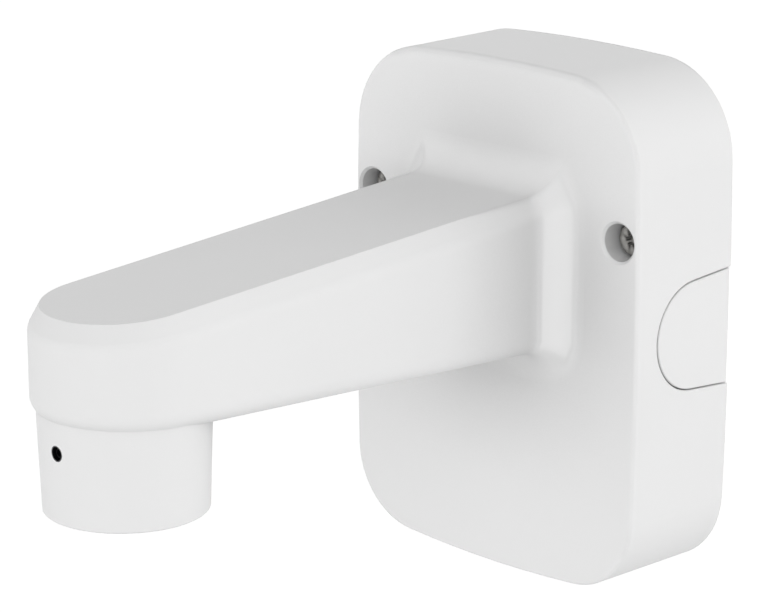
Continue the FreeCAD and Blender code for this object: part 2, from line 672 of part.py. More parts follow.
feature(casting, "Pad", "Rails", rails, {"Length": f"{NOTCH_REACH} - railFrontGap - {COVER_REAR}"})

# Two tongues under the box's top wall, which hang in the wall plate's hooks.
TONGUE_REAR = f"({HOOK_UPRIGHT} - hookPlay - tongueThickness)"
TONGUE_LOW = f"({HOOK_LEVEL} + plateThickness + hookPlay)"
tongues = Drawing(casting, "TonguePlan", "XZ_Plane", TONGUE_REAR)
for sign in SIDES.values():
    tongues.polygon([
        (f"{sign}{HOOK_INNER}", TONGUE_LOW),
        (f"{sign}{HOOK_OUTER}", TONGUE_LOW),
        (f"{sign}{HOOK_OUTER}", "boxHeight / 2 - boxWall / 2"),
        (f"{sign}{HOOK_INNER}", "boxHeight / 2 - boxWall / 2"),
    ])
feature(casting, "Pad", "Tongues", tongues, {"Length": "tongueThickness"})

# Side covers: a piece of the side wall, cut to the entry's shape less the gap, on a wider flange that
# lies behind the wall. The right one is modelled and the left one mirrored.
cover = new_body("side_cover_right")
cover_rear = Drawing(cover, "WallRear", "XZ_Plane").box_outline("0")
cover_front = Drawing(cover, "WallFront", "XZ_Plane", "boxDepth").box_outline("boxDraft")
feature(cover, "AdditiveLoft", "WallOutside", cover_rear, Sections=[cover_front.sketch])
cover_cavity = Drawing(cover, "WallInside", "XZ_Plane").box_outline("boxWall")
feature(cover, "Pocket", "WallHollow", cover_cavity, {"Length": BOX_FLOOR}, Reversed=True)
other_half = Drawing(cover, "OtherHalf", "XZ_Plane").polygon([
    ("0", "-boxHeight"), ("0", "boxHeight"), ("-boxWidth", "boxHeight"), ("-boxWidth", "-boxHeight"),
])
feature(cover, "Pocket", "RightWallOnly", other_half, {"Length": "4 * boxDepth"}, SideType="Symmetric")
trim = Drawing(cover, "CoverTrim", "YZ_Plane")
trim.polygon([
    ("boxDepth", "-boxHeight"), ("boxDepth", "boxHeight"),
    ("-2 * boxDepth", "boxHeight"), ("-2 * boxDepth", "-boxHeight"),
])
COVER_RADIUS = "(notchEndRadius - coverGap)"
COVER_HALF = "(notchMouthHalf - coverGap)"
trim.tongue((f"-{NOTCH_CENTRE}", "notchLevel"), COVER_RADIUS, "-coverGap", COVER_HALF)
feature(cover, "Pocket", "CoverPlate", trim, {"Length": "2 * boxWidth"}, SideType="Symmetric")
neck = Drawing(cover, "NeckOutline", "YZ_Plane", FLANGE_OUTER)
neck.tongue(
    (f"-{NOTCH_CENTRE}", "notchLevel"), f"({COVER_RADIUS} - coverNeckInset)",
    f"-{COVER_REAR}", f"({COVER_HALF} - coverNeckInset)",
)
feature(cover, "Pad", "Neck", neck, {"Length": "coverSealThickness + coverSeat + boxWall / 2"})
flange = Drawing(cover, "FlangeOutline", "YZ_Plane", f"{FLANGE_OUTER} - coverFlangeThickness")
flange.tongue((f"-{NOTCH_CENTRE}", "notchLevel"), FLANGE_HALF, f"-{COVER_REAR}", FLANGE_HALF)
feature(cover, "Pad", "Flange", flange, {"Length": "coverFlangeThickness"})
dress(
    cover, "Chamfer", "CoverEdges", lambda points: all(p.x > outer_skin for p in points),
    {"Size": "entryEdgeBevel"},
)

# The seal round the cover's neck, between the flange and the side wall.
seal = new_body("cover_seal_right")
seal_outside = Drawing(seal, "SealOutside", "YZ_Plane", FLANGE_OUTER)
seal_outside.tongue((f"-{NOTCH_CENTRE}", "notchLevel"), FLANGE_HALF, f"-{COVER_REAR}", FLANGE_HALF)
feature(seal, "Pad", "SealBand", seal_outside, {"Length": "coverSealThickness"})
seal_inside = Drawing(seal, "SealInside", "YZ_Plane", FLANGE_OUTER)
seal_inside.tongue((f"-{NOTCH_CENTRE}", "notchLevel"), "notchEndRadius", "0", "notchMouthHalf")
feature(seal, "Pocket", "SealOpening", seal_inside, {"Length": "2 * coverSealThickness"},
        SideType="Symmetric")

for source, label in ((cover, "side_cover_left"), (seal, "cover_seal_left")):
    mirrored = doc.addObject("Part::Mirroring", label)
    mirrored.Label = label
    mirrored.Source = source
    mirrored.Normal = V(1, 0, 0)

# The wall plate: its edge follows the box's inside. Slots for the wall screws, the cable hole, seats
# for the posts, and two hooks bent forwards and up at the top.
plate = new_body("wall_plate")
PLATE_INSET = "(boxWall + plateClearance)"
plate_outline = Drawing(plate, "PlateOutline", "XZ_Plane", "gasketThickness").box_outline(PLATE_INSET)
feature(plate, "Pad", "Sheet", plate_outline, {"Length": "plateThickness"})
for side, sign in SIDES.items():
    profile = Drawing(plate, f"HookProfile_{side}", "YZ_Plane", f"{sign}hookSpread").polygon([
        (f"-{PLATE_FRONT} + plateThickness / 2", HOOK_LEVEL),
        (f"-{HOOK_UPRIGHT} - plateThickness", HOOK_LEVEL),
        (f"-{HOOK_UPRIGHT} - plateThickness", HOOK_TOP),
        (f"-{HOOK_UPRIGHT}", HOOK_TOP),
        (f"-{HOOK_UPRIGHT}", SHELF_TOP),
        (f"-{PLATE_FRONT} + plateThickness / 2", SHELF_TOP),
    ])
    feature(plate, "Pad", f"Hook_{side}", profile, {"Length": "hookWidth"}, SideType="Symmetric")

hook_outer_y = -number(f"{HOOK_UPRIGHT} + plateThickness")
hook_low = number(HOOK_LEVEL)


def hook_bend(points):
    return all(abs(p.y - hook_outer_y) < NEAR and abs(p.z - hook_low) < NEAR for p in points)


dress(plate, "Fillet", "HookBends", hook_bend, {"Radius": "hookBendRadius"})
openings = Drawing(plate, "PlateOpenings", "XZ_Plane", PLATE_FRONT)
openings.circle(("0", "0"), "cableHoleRadius")
for sign in SIDES.values():
    openings.circle((f"{sign}{FIXING_X}", "fixingLevel"), "postSpigotRadius")
    for way in ("", "-"):
        place = (f"{sign}plateHoleSpanX / 2", f"{way}plateHoleSpanZ / 2")
        openings.level_slot(place, "plateSlotRadius", "plateSlotLength")
    openings.polygon([
        (f"{sign}{HOOK_INNER}", SHELF_TOP),
        (f"{sign}{HOOK_OUTER}", SHELF_TOP),
        (f"{sign}{HOOK_OUTER}", HOOK_TOP),
        (f"{sign}{HOOK_INNER}", HOOK_TOP),
    ])
feature(plate, "Pocket", "PlateOpeningsCut", openings, {"Length": "2 * plateThickness"})

# Foam between plate and wall, with the plate's outline and clear of the screws and the grommet.
gasket = new_body("wall_gasket")
gasket_outline = Drawing(gasket, "GasketOutline", "XZ_Plane").box_outline(PLATE_INSET)
feature(gasket, "Pad", "Foam", gasket_outline, {"Length": "gasketThickness"})
gasket_openings = Drawing(gasket, "GasketOpenings", "XZ_Plane", "gasketThickness")
gasket_openings.circle(("0", "0"), "cableHoleRadius + grommetLip + gasketClearance")
for sign in SIDES.values():
    for way in ("", "-"):
        gasket_openings.level_slot(
            (f"{sign}plateHoleSpanX / 2", f"{way}plateHoleSpanZ / 2"),
            "(plateSlotRadius + gasketClearance)", "(plateSlotLength + 2 * gasketClearance)",
        )
feature(gasket, "Pocket", "GasketOpeningsCut", gasket_openings, {"Length": "2 * gasketThickness"})


def lay_forward(body, across, reach, level):
    """Turns a body's upright axis to point away from the wall, and puts its origin in place."""
    body.Placement = FreeCAD.Placement(V(0, 0, 0), FreeCAD.Rotation(V(1, 0, 0), 90))
    body.setExpression(".Placement.Base.x", sized(across))
    body.setExpression(".Placement.Base.y", sized(f"-{reach}"))
    body.setExpression(".Placement.Base.z", sized(level))


def lay_backward(body, across, reach, level):
    """As lay_forward, with the upright axis towards the wall."""
    lay_forward(body, across, reach, level)
    body.Placement.Rotation = FreeCAD.Rotation(V(1, 0, 0), -90)


# The grommet sits in the plate's cable hole, its groove on the plate, its origin in the plate's rear.
grommet = new_body("cable_grommet")
LIP_RADIUS = "(cableHoleRadius + grommetLip)"
GROOVE_RADIUS = "(cableHoleRadius - grommetPlay)"
turned(grommet, "Ring", [
    ("grommetCableRadius", "(plateThickness - grommetSkin) / 2"),
    ("cableHoleRadius - grommetLip", "(plateThickness - grommetSkin) / 2"),
    ("cableHoleRadius - grommetLip", "-grommetLipThickness"),
    (LIP_RADIUS, "-grommetLipThickness"),
    (LIP_RADIUS, "-grommetPlay"),
    (GROOVE_RADIUS, "-grommetPlay"),
    (GROOVE_RADIUS, "plateThickness + grommetPlay"),
    (LIP_RADIUS, "plateThickness + grommetPlay"),
    (LIP_RADIUS, "plateThickness + grommetLipThickness"),
    ("cableHoleRadius - grommetLip", "plateThickness + grommetLipThickness"),
    ("cableHoleRadius - grommetLip", "(plateThickness + grommetSkin) / 2"),
    ("grommetCableRadius", "(plateThickness + grommetSkin) / 2"),
])
lay_forward(grommet, "0", "gasketThickness", "0")

# Each front fixing: a post pressed into the plate, the screw, the seal under its head and the washer
# behind the boss that keeps the loosened screw in the casting.
for side, sign in SIDES.items():
    across = f"{sign}{FIXING_X}"

    post = new_body(f"plate_post_{side}")
    turned(post, "Post", [
        ("0", "0"),
        ("postSpigotRadius - pressPlay", "0"),
        ("postSpigotRadius - pressPlay", "plateThickness"),
        ("postRadius", "plateThickness"),
        ("postRadius", f"plateThickness + {POST_LENGTH}"),
        ("fixingShankRadius + threadClearance", f"plateThickness + {POST_LENGTH}"),
        ("fixingShankRadius + threadClearance", f"plateThickness + {POST_LENGTH} - postBoreDepth"),
        ("0", f"plateThickness + {POST_LENGTH} - postBoreDepth"),
    ])
    lay_forward(post, across, "gasketThickness", "fixingLevel")

    screw = new_body(f"fixing_screw_{side}")
    turned(screw, "Screw", [
        ("0", "-fixingShankLength"),
        ("fixingShankRadius - screwEndBevel", "-fixingShankLength"),
        ("fixingShankRadius", "screwEndBevel - fixingShankLength"),
        ("fixingShankRadius", "0"),
        ("fixingHeadRadius", "0"),
        ("fixingHeadRadius", "fixingHeadHeight - headEdgeBevel"),
        ("fixingHeadRadius - headEdgeBevel", "fixingHeadHeight"),
        ("0", "fixingHeadHeight"),
    ])
    core = Drawing(screw, "DriveCore", "XY_Plane", "fixingHeadHeight").circle(("0", "0"), "driveCoreRadius")
    feature(screw, "Pocket", "DriveSocket", core, {"Length": "driveDepth"})
    lobe = Drawing(screw, "DriveLobe", "XY_Plane", "fixingHeadHeight")
    lobe.circle(("driveLobeReach", "0"), "driveLobeRadius")
    first_lobe = feature(screw, "Pocket", "DriveFirstLobe", lobe, {"Length": "driveDepth"})
    lobes = screw.newObject("PartDesign::PolarPattern", "DriveLobes")
    lobes.Originals = [first_lobe]
    lobes.Axis = (lobe.sketch, ["N_Axis"])
    lobes.Occurrences = 6
    lobes.Angle = 360
    screw.Tip = lobes
    lay_forward(screw, across, SCREW_SEAT, "fixingLevel")

    head_seal = new_body(f"screw_seal_{side}")
    turned(head_seal, "Ring", [
        ("fixingShankRadius + sealPlay", "0"),
        ("fixingHeadRadius", "0"),
        ("fixingHeadRadius", "sealThickness"),
        ("fixingShankRadius + sealPlay", "sealThickness"),
    ])
    lay_forward(head_seal, across, SEAL_SEAT, "fixingLevel")

    retainer = new_body(f"screw_retainer_{side}")
    turned(retainer, "Ring", [
        ("fixingShankRadius + sealPlay", "-retainerThickness"),
        ("retainerRadius", "-retainerThickness"),
        ("retainerRadius", "0"),
        ("fixingShankRadius + sealPlay", "0"),
    ])
    lay_forward(retainer, across, BOSS_REAR, "fixingLevel")

# The set screw in the collar: cup point inwards, hexagon socket outwards, its face under the surface.
set_screw = new_body("set_screw")
turned(set_screw, "Grub", [
    ("0", "setScrewCup / 2 - setScrewLength"),
    ("setScrewRadius - setScrewCup", "-setScrewLength"),
    ("setScrewRadius", "setScrewCup - setScrewLength"),
    ("setScrewRadius", "-setScrewCup / 2"),
    ("setScrewRadius - setScrewCup / 2", "0"),
    ("0", "0"),
])
hexagon = Drawing(set_screw, "Socket", "XY_Plane")
FLAT = "setScrewSocket / 2"
TIP = f"setScrewSocket / {math.sqrt(3):.6f}"
SHOULDER = f"setScrewSocket / {2 * math.sqrt(3):.6f}"
hexagon.polygon([
    ("0", TIP), (f"-{FLAT}", SHOULDER), (f"-{FLAT}", f"-{SHOULDER}"),
    ("0", f"-{TIP}"), (FLAT, f"-{SHOULDER}"), (FLAT, SHOULDER),
])
feature(set_screw, "Pocket", "SocketCut", hexagon, {"Length": "setScrewLength / 2"})
lay_forward(set_screw, "0", "(collarReach + collarTopRadius - setScrewRecess)", "-setScrewDrop")

# Earth terminal: a pan-head screw and a toothed washer on the small boss. They face the wall.
earth_washer = new_body("earth_washer")
turned(earth_washer, "Ring", [
    ("earthScrewRadius + sealPlay", "0"),
    ("earthWasherRadius", "0"),
    ("earthWasherRadius", "earthWasherThickness"),
    ("earthScrewRadius + sealPlay", "earthWasherThickness"),
])
lay_backward(earth_washer, "0", EARTH_SEAT, "-earthDrop")

earth_screw = new_body("earth_screw")
turned(earth_screw, "Screw", [
    ("0", "-earthScrewLength"),
    ("earthScrewRadius - screwEndBevel", "-earthScrewLength"),
    ("earthScrewRadius", "screwEndBevel - earthScrewLength"),
    ("earthScrewRadius", "0"),
    ("earthHeadRadius", "0"),
    ("earthHeadRadius", "earthHeadHeight - headEdgeBevel"),
    ("earthHeadRadius - headEdgeBevel", "earthHeadHeight"),
    ("0", "earthHeadHeight"),
])
cross = Drawing(earth_screw, "CrossDrive", "XY_Plane", "earthHeadHeight")
W, L = "earthSlotWidth / 2", "earthSlotLength / 2"
cross.polygon([
    (W, W), (L, W), (L, f"-{W}"), (W, f"-{W}"), (W, f"-{L}"), (f"-{W}", f"-{L}"),
    (f"-{W}", f"-{W}"), (f"-{L}", f"-{W}"), (f"-{L}", W), (f"-{W}", W), (f"-{W}", L), (W, L),
])
feature(earth_screw, "Pocket", "CrossDriveCut", cross, {"Length": "earthHeadHeight / 2"})
lay_backward(earth_screw, "0", f"({EARTH_SEAT} - earthWasherThickness)", "-earthDrop")

doc.recompute()

# Every feature must have succeeded, and every piece must be a sound solid, before anything is written.
failed = [item.Name for item in doc.Objects if {"Invalid", "Error"} & set(item.State)]
if failed:
    raise RuntimeError("features failed: " + ", ".join(failed))
pieces = [item for item in doc.Objects if item.TypeId in ("PartDesign::Body", "Part::Mirroring")]
for piece in pieces:
    if piece.Shape.isNull() or not piece.Shape.isValid() or len(piece.Shape.Solids) != 1:
        raise RuntimeError(f"{piece.Label} is not one sound solid")
for piece in pieces:
    piece.Shape.exportStep(f"parts/{piece.Label}.step")
    print(f"{piece.Label}: {piece.Shape.Volume / 1000:.2f} cubic centimetres")
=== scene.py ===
# %% [markdown]
# # A wall bracket for a pendant camera
# The bracket is a hollow aluminium casting: a box that covers a steel plate on the wall, an arm that
# carries the camera's cable, and a collar with a pipe thread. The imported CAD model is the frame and
# already has the true shapes, so this lesson dresses them: it writes the finishes as procedural
# materials, cuts the threads that the solids leave plain, and lights everything softly.

import math

import bmesh
import bpy
from mathutils import Matrix, Vector


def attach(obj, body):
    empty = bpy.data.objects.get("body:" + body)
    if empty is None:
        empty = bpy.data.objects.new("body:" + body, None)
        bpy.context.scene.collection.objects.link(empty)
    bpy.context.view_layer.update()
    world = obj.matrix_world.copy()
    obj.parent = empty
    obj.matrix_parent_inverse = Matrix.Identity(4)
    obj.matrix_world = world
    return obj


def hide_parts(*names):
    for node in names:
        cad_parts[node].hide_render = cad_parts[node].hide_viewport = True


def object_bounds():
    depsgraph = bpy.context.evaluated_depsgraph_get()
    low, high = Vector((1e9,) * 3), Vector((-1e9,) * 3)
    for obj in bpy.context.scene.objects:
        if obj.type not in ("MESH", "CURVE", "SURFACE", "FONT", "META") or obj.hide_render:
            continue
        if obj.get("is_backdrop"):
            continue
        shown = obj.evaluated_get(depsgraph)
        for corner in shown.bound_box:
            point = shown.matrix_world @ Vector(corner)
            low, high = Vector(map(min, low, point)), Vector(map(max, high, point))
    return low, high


MM = 0.001
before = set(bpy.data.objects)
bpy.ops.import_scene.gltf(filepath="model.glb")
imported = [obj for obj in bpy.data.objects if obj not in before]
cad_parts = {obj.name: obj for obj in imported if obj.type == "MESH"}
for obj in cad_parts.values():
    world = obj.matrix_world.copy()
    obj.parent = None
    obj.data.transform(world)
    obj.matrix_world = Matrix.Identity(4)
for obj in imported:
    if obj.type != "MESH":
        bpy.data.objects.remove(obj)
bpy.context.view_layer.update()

# %% [markdown]
# ## Small helpers
# Colours are given as sRGB hex values, but a shader works in linear light, so one function turns one
# into the other. Every node, in every kind of tree, is added by a second function that takes its
# settings, its fixed input values and its links. The others start a material, feed its shader and put
# it on a piece of the frame. They keep the later cells short.

# %% Helpers for colours and nodes
def linear(code):
    """An sRGB hex colour such as "E6E6E4" as linear red, green, blue and alpha."""
    channels = [int(code[i : i + 2], 16) / 255 for i in (0, 2, 4)]
    return [c / 12.92 if c <= 0.04045 else ((c + 0.055) / 1.055) ** 2.4 for c in channels] + [1.0]


def add(tree, kind, settings=None, values=None, links=None):
    """A new node, with its settings, the values of its inputs and the sockets that feed them."""
    node = tree.nodes.new(kind)
    for name, setting in (settings or {}).items():
        setattr(node, name, setting)
    for key, value in (values or {}).items():
        node.inputs[key].default_value = value
    for key, socket in (links or {}).items():
        tree.links.new(socket, node.inputs[key])
    return node


# %% Helpers for materials
def new_material(name, metallic=0.0):
    """An empty material, its tree, its Principled shader and its Object coordinates."""
    material = bpy.data.materials.new(name)
    material.use_nodes = True
    tree = material.node_tree
    tree.nodes.clear()
    shader = add(tree, "ShaderNodeBsdfPrincipled", None, {"Metallic": metallic})
    add(tree, "ShaderNodeOutputMaterial", links={"Surface": shader.outputs["BSDF"]})
    place = add(tree, "ShaderNodeTexCoord").outputs["Object"]
    return material, tree, shader, place


def feed(tree, shader, colour, roughness, normal):
    """The three sockets that every finish here drives."""
    for name, socket in (("Base Color", colour), ("Roughness", roughness), ("Normal", normal)):
        tree.links.new(socket, shader.inputs[name])


def finish_nodes(material, *names):
    """The material goes into the first slot of each CAD node."""
    for name in names:
        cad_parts[name].material_slots[0].material = material
    print(material.name, "on", ", ".join(names))


# %% [markdown]
# ## The camera
# The photograph was taken with a long lens from the right and a little above. The view was found by
# matching the outlines of the solids to the picture: it looks 45.7 degrees round from the front, from
# 15.3 degrees above the horizon and a little over a metre away.

# %% Camera
AZIMUTH, ELEVATION = math.radians(45.72), math.radians(15.29)
LENS, SENSOR = 145.0, 36.0
TARGET = Vector((-8.15, -103.83, 11.60)) * MM
DISTANCE = 1148 * MM

level_share, height_share = math.cos(ELEVATION), math.sin(ELEVATION)
away = Vector((math.sin(AZIMUTH) * level_share, -math.cos(AZIMUTH) * level_share, height_share))
camera_data = bpy.data.cameras.new("photo_view")
camera_data.lens, camera_data.sensor_width = LENS, SENSOR
camera = bpy.data.objects.new("photo_view", camera_data)
camera.location = TARGET + away * DISTANCE
camera.rotation_euler = (-away).to_track_quat("-Z", "Y").to_euler()
bpy.context.scene.collection.objects.link(camera)
bpy.context.scene.camera = camera
bpy.context.scene.view_settings.view_transform = "Standard"
print("camera at", [round(c, 3) for c in camera.location])

# %% [markdown]
# ## White ground and soft light
# The picture has a white ground and no shadow edge on the bracket, and the upward faces are its
# darkest. So the light comes from a tent whose walls glow all round while its roof stays dim. The
# world does this: each wall adds a broad patch of light that falls off with the cube of the cosine.
# Rays from the camera, reflections and light seen through glass find plain white instead.

# %% The walls of the tent
TENT_FALLOFF = 3.0
# For each wall, which way it lies from the bracket and how bright its middle is.
TENT_WALLS = {
    "front": ((0, -1, 0), 0.62),
    "right_front": ((1, -1, 0), 2.00),
    "right_back": ((1, 1, 0), 1.37),
    "back": ((0, 1, 0), 2.05),
    "back_high": ((0, 1, 1), 0.13),
    "left": ((-1, 0, 0), 0.98),
    "left_front": ((-1, -1, 0), 0.78),
    "roof": ((0, 0, 1), 0.17),
}
world = bpy.data.worlds.new("light_tent")
bpy.context.scene.world = world
world.use_nodes = True
sky = world.node_tree
sky.nodes.clear()
towards_sky = add(sky, "ShaderNodeTexCoord").outputs["Generated"]
brightness = None
for wall, (towards, strength) in TENT_WALLS.items():
    facing = add(
        sky, "ShaderNodeVectorMath", {"operation": "DOT_PRODUCT", "label": wall},
        {1: Vector(towards).normalized()}, {0: towards_sky},
    ).outputs["Value"]
    lit = add(sky, "ShaderNodeMath", {"operation": "MAXIMUM"}, {1: 0.0}, {0: facing}).outputs[0]
    patch = add(sky, "ShaderNodeMath", {"operation": "POWER"}, {1: TENT_FALLOFF}, {0: lit}).outputs[0]
    total = add(sky, "ShaderNodeMath", {"operation": "MULTIPLY_ADD"}, {1: strength, 2: 0.0}, {0: patch})
    if brightness is not None:
        sky.links.new(brightness, total.inputs[2])
    brightness = total.outputs[0]
print("light tent with", len(TENT_WALLS), "walls")

# %% Plain white for what is seen directly
def seen_directly(tree):
    """One for rays from the camera, reflections and refractions, and nothing for scattered light."""
    path = add(tree, "ShaderNodeLightPath")
    seen_or_mirrored = add(tree, "ShaderNodeMath", {"operation": "MAXIMUM"}, None, {
        0: path.outputs["Is Camera Ray"], 1: path.outputs["Is Glossy Ray"],
    })
    return add(tree, "ShaderNodeMath", {"operation": "MAXIMUM"}, None, {
        0: seen_or_mirrored.outputs[0], 1: path.outputs["Is Transmission Ray"],
    }).outputs[0]


WHITE = linear("FFFFFF")
tent = add(sky, "ShaderNodeBackground", None, {"Color": WHITE}, {"Strength": brightness})
plain = add(sky, "ShaderNodeBackground", None, {"Color": WHITE, "Strength": 1.0})
ground = add(sky, "ShaderNodeMixShader", None, None, {
    0: seen_directly(sky), 1: tent.outputs[0], 2: plain.outputs[0],
})
add(sky, "ShaderNodeOutputWorld", None, None, {"Surface": ground.outputs[0]})
print("world with", len(sky.nodes), "nodes")

# %% [markdown]
# ## The floor
# A bracket hangs on a wall, so nothing stands here: the floor is a sheet of pale paper far below that
# catches what shadow there is. A little glow, which only the camera and reflections see, lifts the
# paper to white without adding light to the bracket.

# %% Floor
FLOOR_LEVEL, FLOOR_HALF = -2500 * MM, 25000 * MM
FLOOR_GLOW = 0.35
PAPER_ROUGHNESS = 0.9

floor_mesh = bpy.data.meshes.new("floor")
floor_corners = ((-1, -1), (1, -1), (1, 1), (-1, 1))
floor_mesh.from_pydata(
    [(x * FLOOR_HALF, y * FLOOR_HALF, FLOOR_LEVEL) for x, y in floor_corners], [], [(0, 1, 2, 3)],
)
floor = bpy.data.objects.new("floor", floor_mesh)
bpy.context.scene.collection.objects.link(floor)
paper, tree, shader, place = new_material("matt_white_paper")
shader.inputs["Base Color"].default_value = linear("F2F2F2")
shader.inputs["Roughness"].default_value = PAPER_ROUGHNESS
shader.inputs["Emission Color"].default_value = WHITE
glow = add(tree, "ShaderNodeMath", {"operation": "MULTIPLY"}, {1: FLOOR_GLOW}, {0: seen_directly(tree)})
tree.links.new(glow.outputs[0], shader.inputs["Emission Strength"])
floor_mesh.materials.append(paper)
floor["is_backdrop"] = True
print("floor at", round(FLOOR_LEVEL / MM), "mm")

# %% [markdown]
# ## Powder-coated aluminium
# The casting and its side covers are sprayed with dry polyester powder, which melts into a skin about
# 0.08 mm thick. It is matt satin: highlights are broad and faint. As it flows it keeps a slight orange
# peel, gentle bumps about a millimetre apart, and its thickness varies a little, which shows as a
# hardly visible cloudiness. The melt also draws back a little from sharp edges, which a small Bevel
# node shows.
#
# The paint's colour is darkened in hollows such as the one where the arm leaves the box: painted
# shade, on top of the shade that the light gives. Faces that look up get less of it. An Ambient
# Occlusion node finds such hollows: the colour is full where nothing stands within its reach, and
# darkest where less than 62 percent of the view is open.

# %% How much painted shade lies in the hollows
HOLLOW_REACH = 60 * MM
# Painted shade: its deepest factor, the openness at which it is deepest, and how far upward faces are
# spared.
DEEPEST_PAINTED_SHADE, DEEP_HOLLOW, UPWARD_SHADE_EASE = 0.74, 0.62, 0.95


def painted_hollow_shade(tree):
    """Painted shade as a factor on the paint: lowest deep in a hollow, one in the open and on upward faces.
    """
    openness = add(
        tree, "ShaderNodeAmbientOcclusion", {"samples": 8}, {"Distance": HOLLOW_REACH},
    ).outputs["AO"]
    facing = add(tree, "ShaderNodeNewGeometry").outputs["Normal"]
    # Faces that look up get less of the painted shade.
    upward = add(
        tree, "ShaderNodeVectorMath", {"operation": "DOT_PRODUCT"}, {1: (0, 0, UPWARD_SHADE_EASE)}, {0: facing},
    ).outputs["Value"]
    shade_eased_upward = add(
        tree, "ShaderNodeMix", {"data_type": "FLOAT", "clamp_factor": True}, {3: 1.0},
        {0: upward, 2: openness},
    ).outputs[0]
    return add(
        tree, "ShaderNodeMapRange", {"label": "coat thickness"},
        {"From Min": DEEP_HOLLOW, "To Min": DEEPEST_PAINTED_SHADE, "To Max": 1.0}, {"Value": shade_eased_upward},
    ).outputs["Result"]


# %% Powder coat
PEEL_SPACING, PEEL_DEPTH, CLOUD_SPACING = 1.1 * MM, 0.012 * MM, 55 * MM
EDGE_FLOW = 0.35 * MM


def powder_coat(name):
    """White powder coat, over which a later cell may lay another finish."""
    material, tree, shader, place = new_material(name)
    cloud = add(
        tree, "ShaderNodeTexNoise", None, {"Scale": 1 / CLOUD_SPACING, "Detail": 2.0}, {"Vector": place},
    ).outputs["Fac"]
    paint = add(
        tree, "ShaderNodeMix", {"data_type": "RGBA"}, {6: linear("E5E5E5"), 7: linear("E8E8E8")},
        {0: cloud},
    ).outputs[2]
    # The paint's colour is multiplied by the painted shade of the hollows.
    coat = add(
        tree, "ShaderNodeVectorMath", {"operation": "SCALE"}, None,
        {0: paint, "Scale": painted_hollow_shade(tree)},
    ).outputs[0]
    peel = add(
        tree, "ShaderNodeTexNoise", None, {"Scale": 1 / PEEL_SPACING, "Detail": 1.0}, {"Vector": place},
    ).outputs["Fac"]
    satin = add(
        tree, "ShaderNodeMapRange", None, {"To Min": 0.56, "To Max": 0.64}, {"Value": peel},
    ).outputs["Result"]
    edges = add(tree, "ShaderNodeBevel", {"samples": 6}, {"Radius": EDGE_FLOW}).outputs["Normal"]
    bumps = add(
        tree, "ShaderNodeBump", None, {"Strength": 0.25, "Distance": PEEL_DEPTH},
        {"Height": peel, "Normal": edges},
    ).outputs["Normal"]
    feed(tree, shader, coat, satin, bumps)
    return material


finish_nodes(powder_coat("powder_coated_cover"), "side_cover_left", "side_cover_right")

# %% [markdown]
# ## The casting: powder outside, bare metal in the collar
# The collar's thread is cut after spraying, so its bore and the bevel at its mouth are bare machined
# aluminium. Both belong to the one casting, so the coat's own tree gets a mask: how far a point lies
# from the collar's upright axis, and whether it is below the shoulder that stops the pipe. The set
# screw's hole is tapped afterwards too and is bare as well, and its wall is painted dark as painted
# shade in the narrow hole. A second mask finds it.

# %% Bare machined metal
TOOL_MARKS = 0.30 * MM
# A Wave texture repeats after this many metres, divided by its scale.
WAVE_REPEAT = 0.314


def machined_finish(tree, height):
    """Colour, roughness and height of bare aluminium with the rings that a turning tool leaves."""
    across = add(tree, "ShaderNodeCombineXYZ", None, None, {"Z": height}).outputs[0]
    rings = add(
        tree, "ShaderNodeTexWave", {"bands_direction": "Z"},
        {"Scale": WAVE_REPEAT / TOOL_MARKS, "Distortion": 0.4, "Detail": 1.0}, {"Vector": across},
    ).outputs["Fac"]
    colour = add(
        tree, "ShaderNodeMix", {"data_type": "RGBA"}, {6: linear("C2C3C5"), 7: linear("CFD0D1")},
        {0: rings},
    ).outputs[2]
    roughness = add(
        tree, "ShaderNodeMapRange", None, {"To Min": 0.27, "To Max": 0.37}, {"Value": rings},
    ).outputs["Result"]
    return colour, roughness, rings


# %% Where the casting is bare
COLLAR_Y = -235.0 * MM
BARE_RADIUS, BARE_TOP = 24.95 * MM, -2.5 * MM
SET_SCREW_Z, TAPPED_RADIUS, TAPPED_END = -8.0 * MM, 2.85 * MM, -255 * MM


def node_of(tree, kind):
    """The first node of a type in a tree, for a cell that changes what feeds it."""
    return next(node for node in tree.nodes if node.type == kind)


def inside(tree, sideways, limit_radius, past, limit):
    """One within a radius of an axis and past a limit along it, and nothing elsewhere."""
    off_axis = add(
        tree, "ShaderNodeVectorMath", {"operation": "LENGTH"}, None,
        {0: add(tree, "ShaderNodeCombineXYZ", None, None, sideways).outputs[0]},
    ).outputs["Value"]
    near = add(tree, "ShaderNodeMath", {"operation": "LESS_THAN"}, {1: limit_radius}, {0: off_axis})
    beyond = add(tree, "ShaderNodeMath", {"operation": "LESS_THAN"}, {1: limit}, {0: past})
    return add(
        tree, "ShaderNodeMath", {"operation": "MULTIPLY"}, None, {0: near.outputs[0], 1: beyond.outputs[0]},
    ).outputs[0]


casting_coat = powder_coat("powder_coated_casting")
casting = casting_coat.node_tree
casting_place = node_of(casting, "TEX_COORD").outputs["Object"]
here = add(casting, "ShaderNodeSeparateXYZ", None, None, {"Vector": casting_place}).outputs
from_collar = add(casting, "ShaderNodeMath", {"operation": "SUBTRACT"}, {1: COLLAR_Y}, {0: here["Y"]})
from_screw = add(casting, "ShaderNodeMath", {"operation": "SUBTRACT"}, {1: SET_SCREW_Z}, {0: here["Z"]})
bored = inside(casting, {"X": here["X"], "Y": from_collar.outputs[0]}, BARE_RADIUS, here["Z"], BARE_TOP)
tapped = inside(
    casting, {"X": here["X"], "Z": from_screw.outputs[0]}, TAPPED_RADIUS, here["Y"], TAPPED_END,
)
bare = add(casting, "ShaderNodeMath", {"operation": "MAXIMUM"}, None, {0: bored, 1: tapped}).outputs[0]
print("bare bore", round(2 * BARE_RADIUS / MM, 1), "mm wide, tapped hole", 2 * TAPPED_RADIUS / MM, "mm")

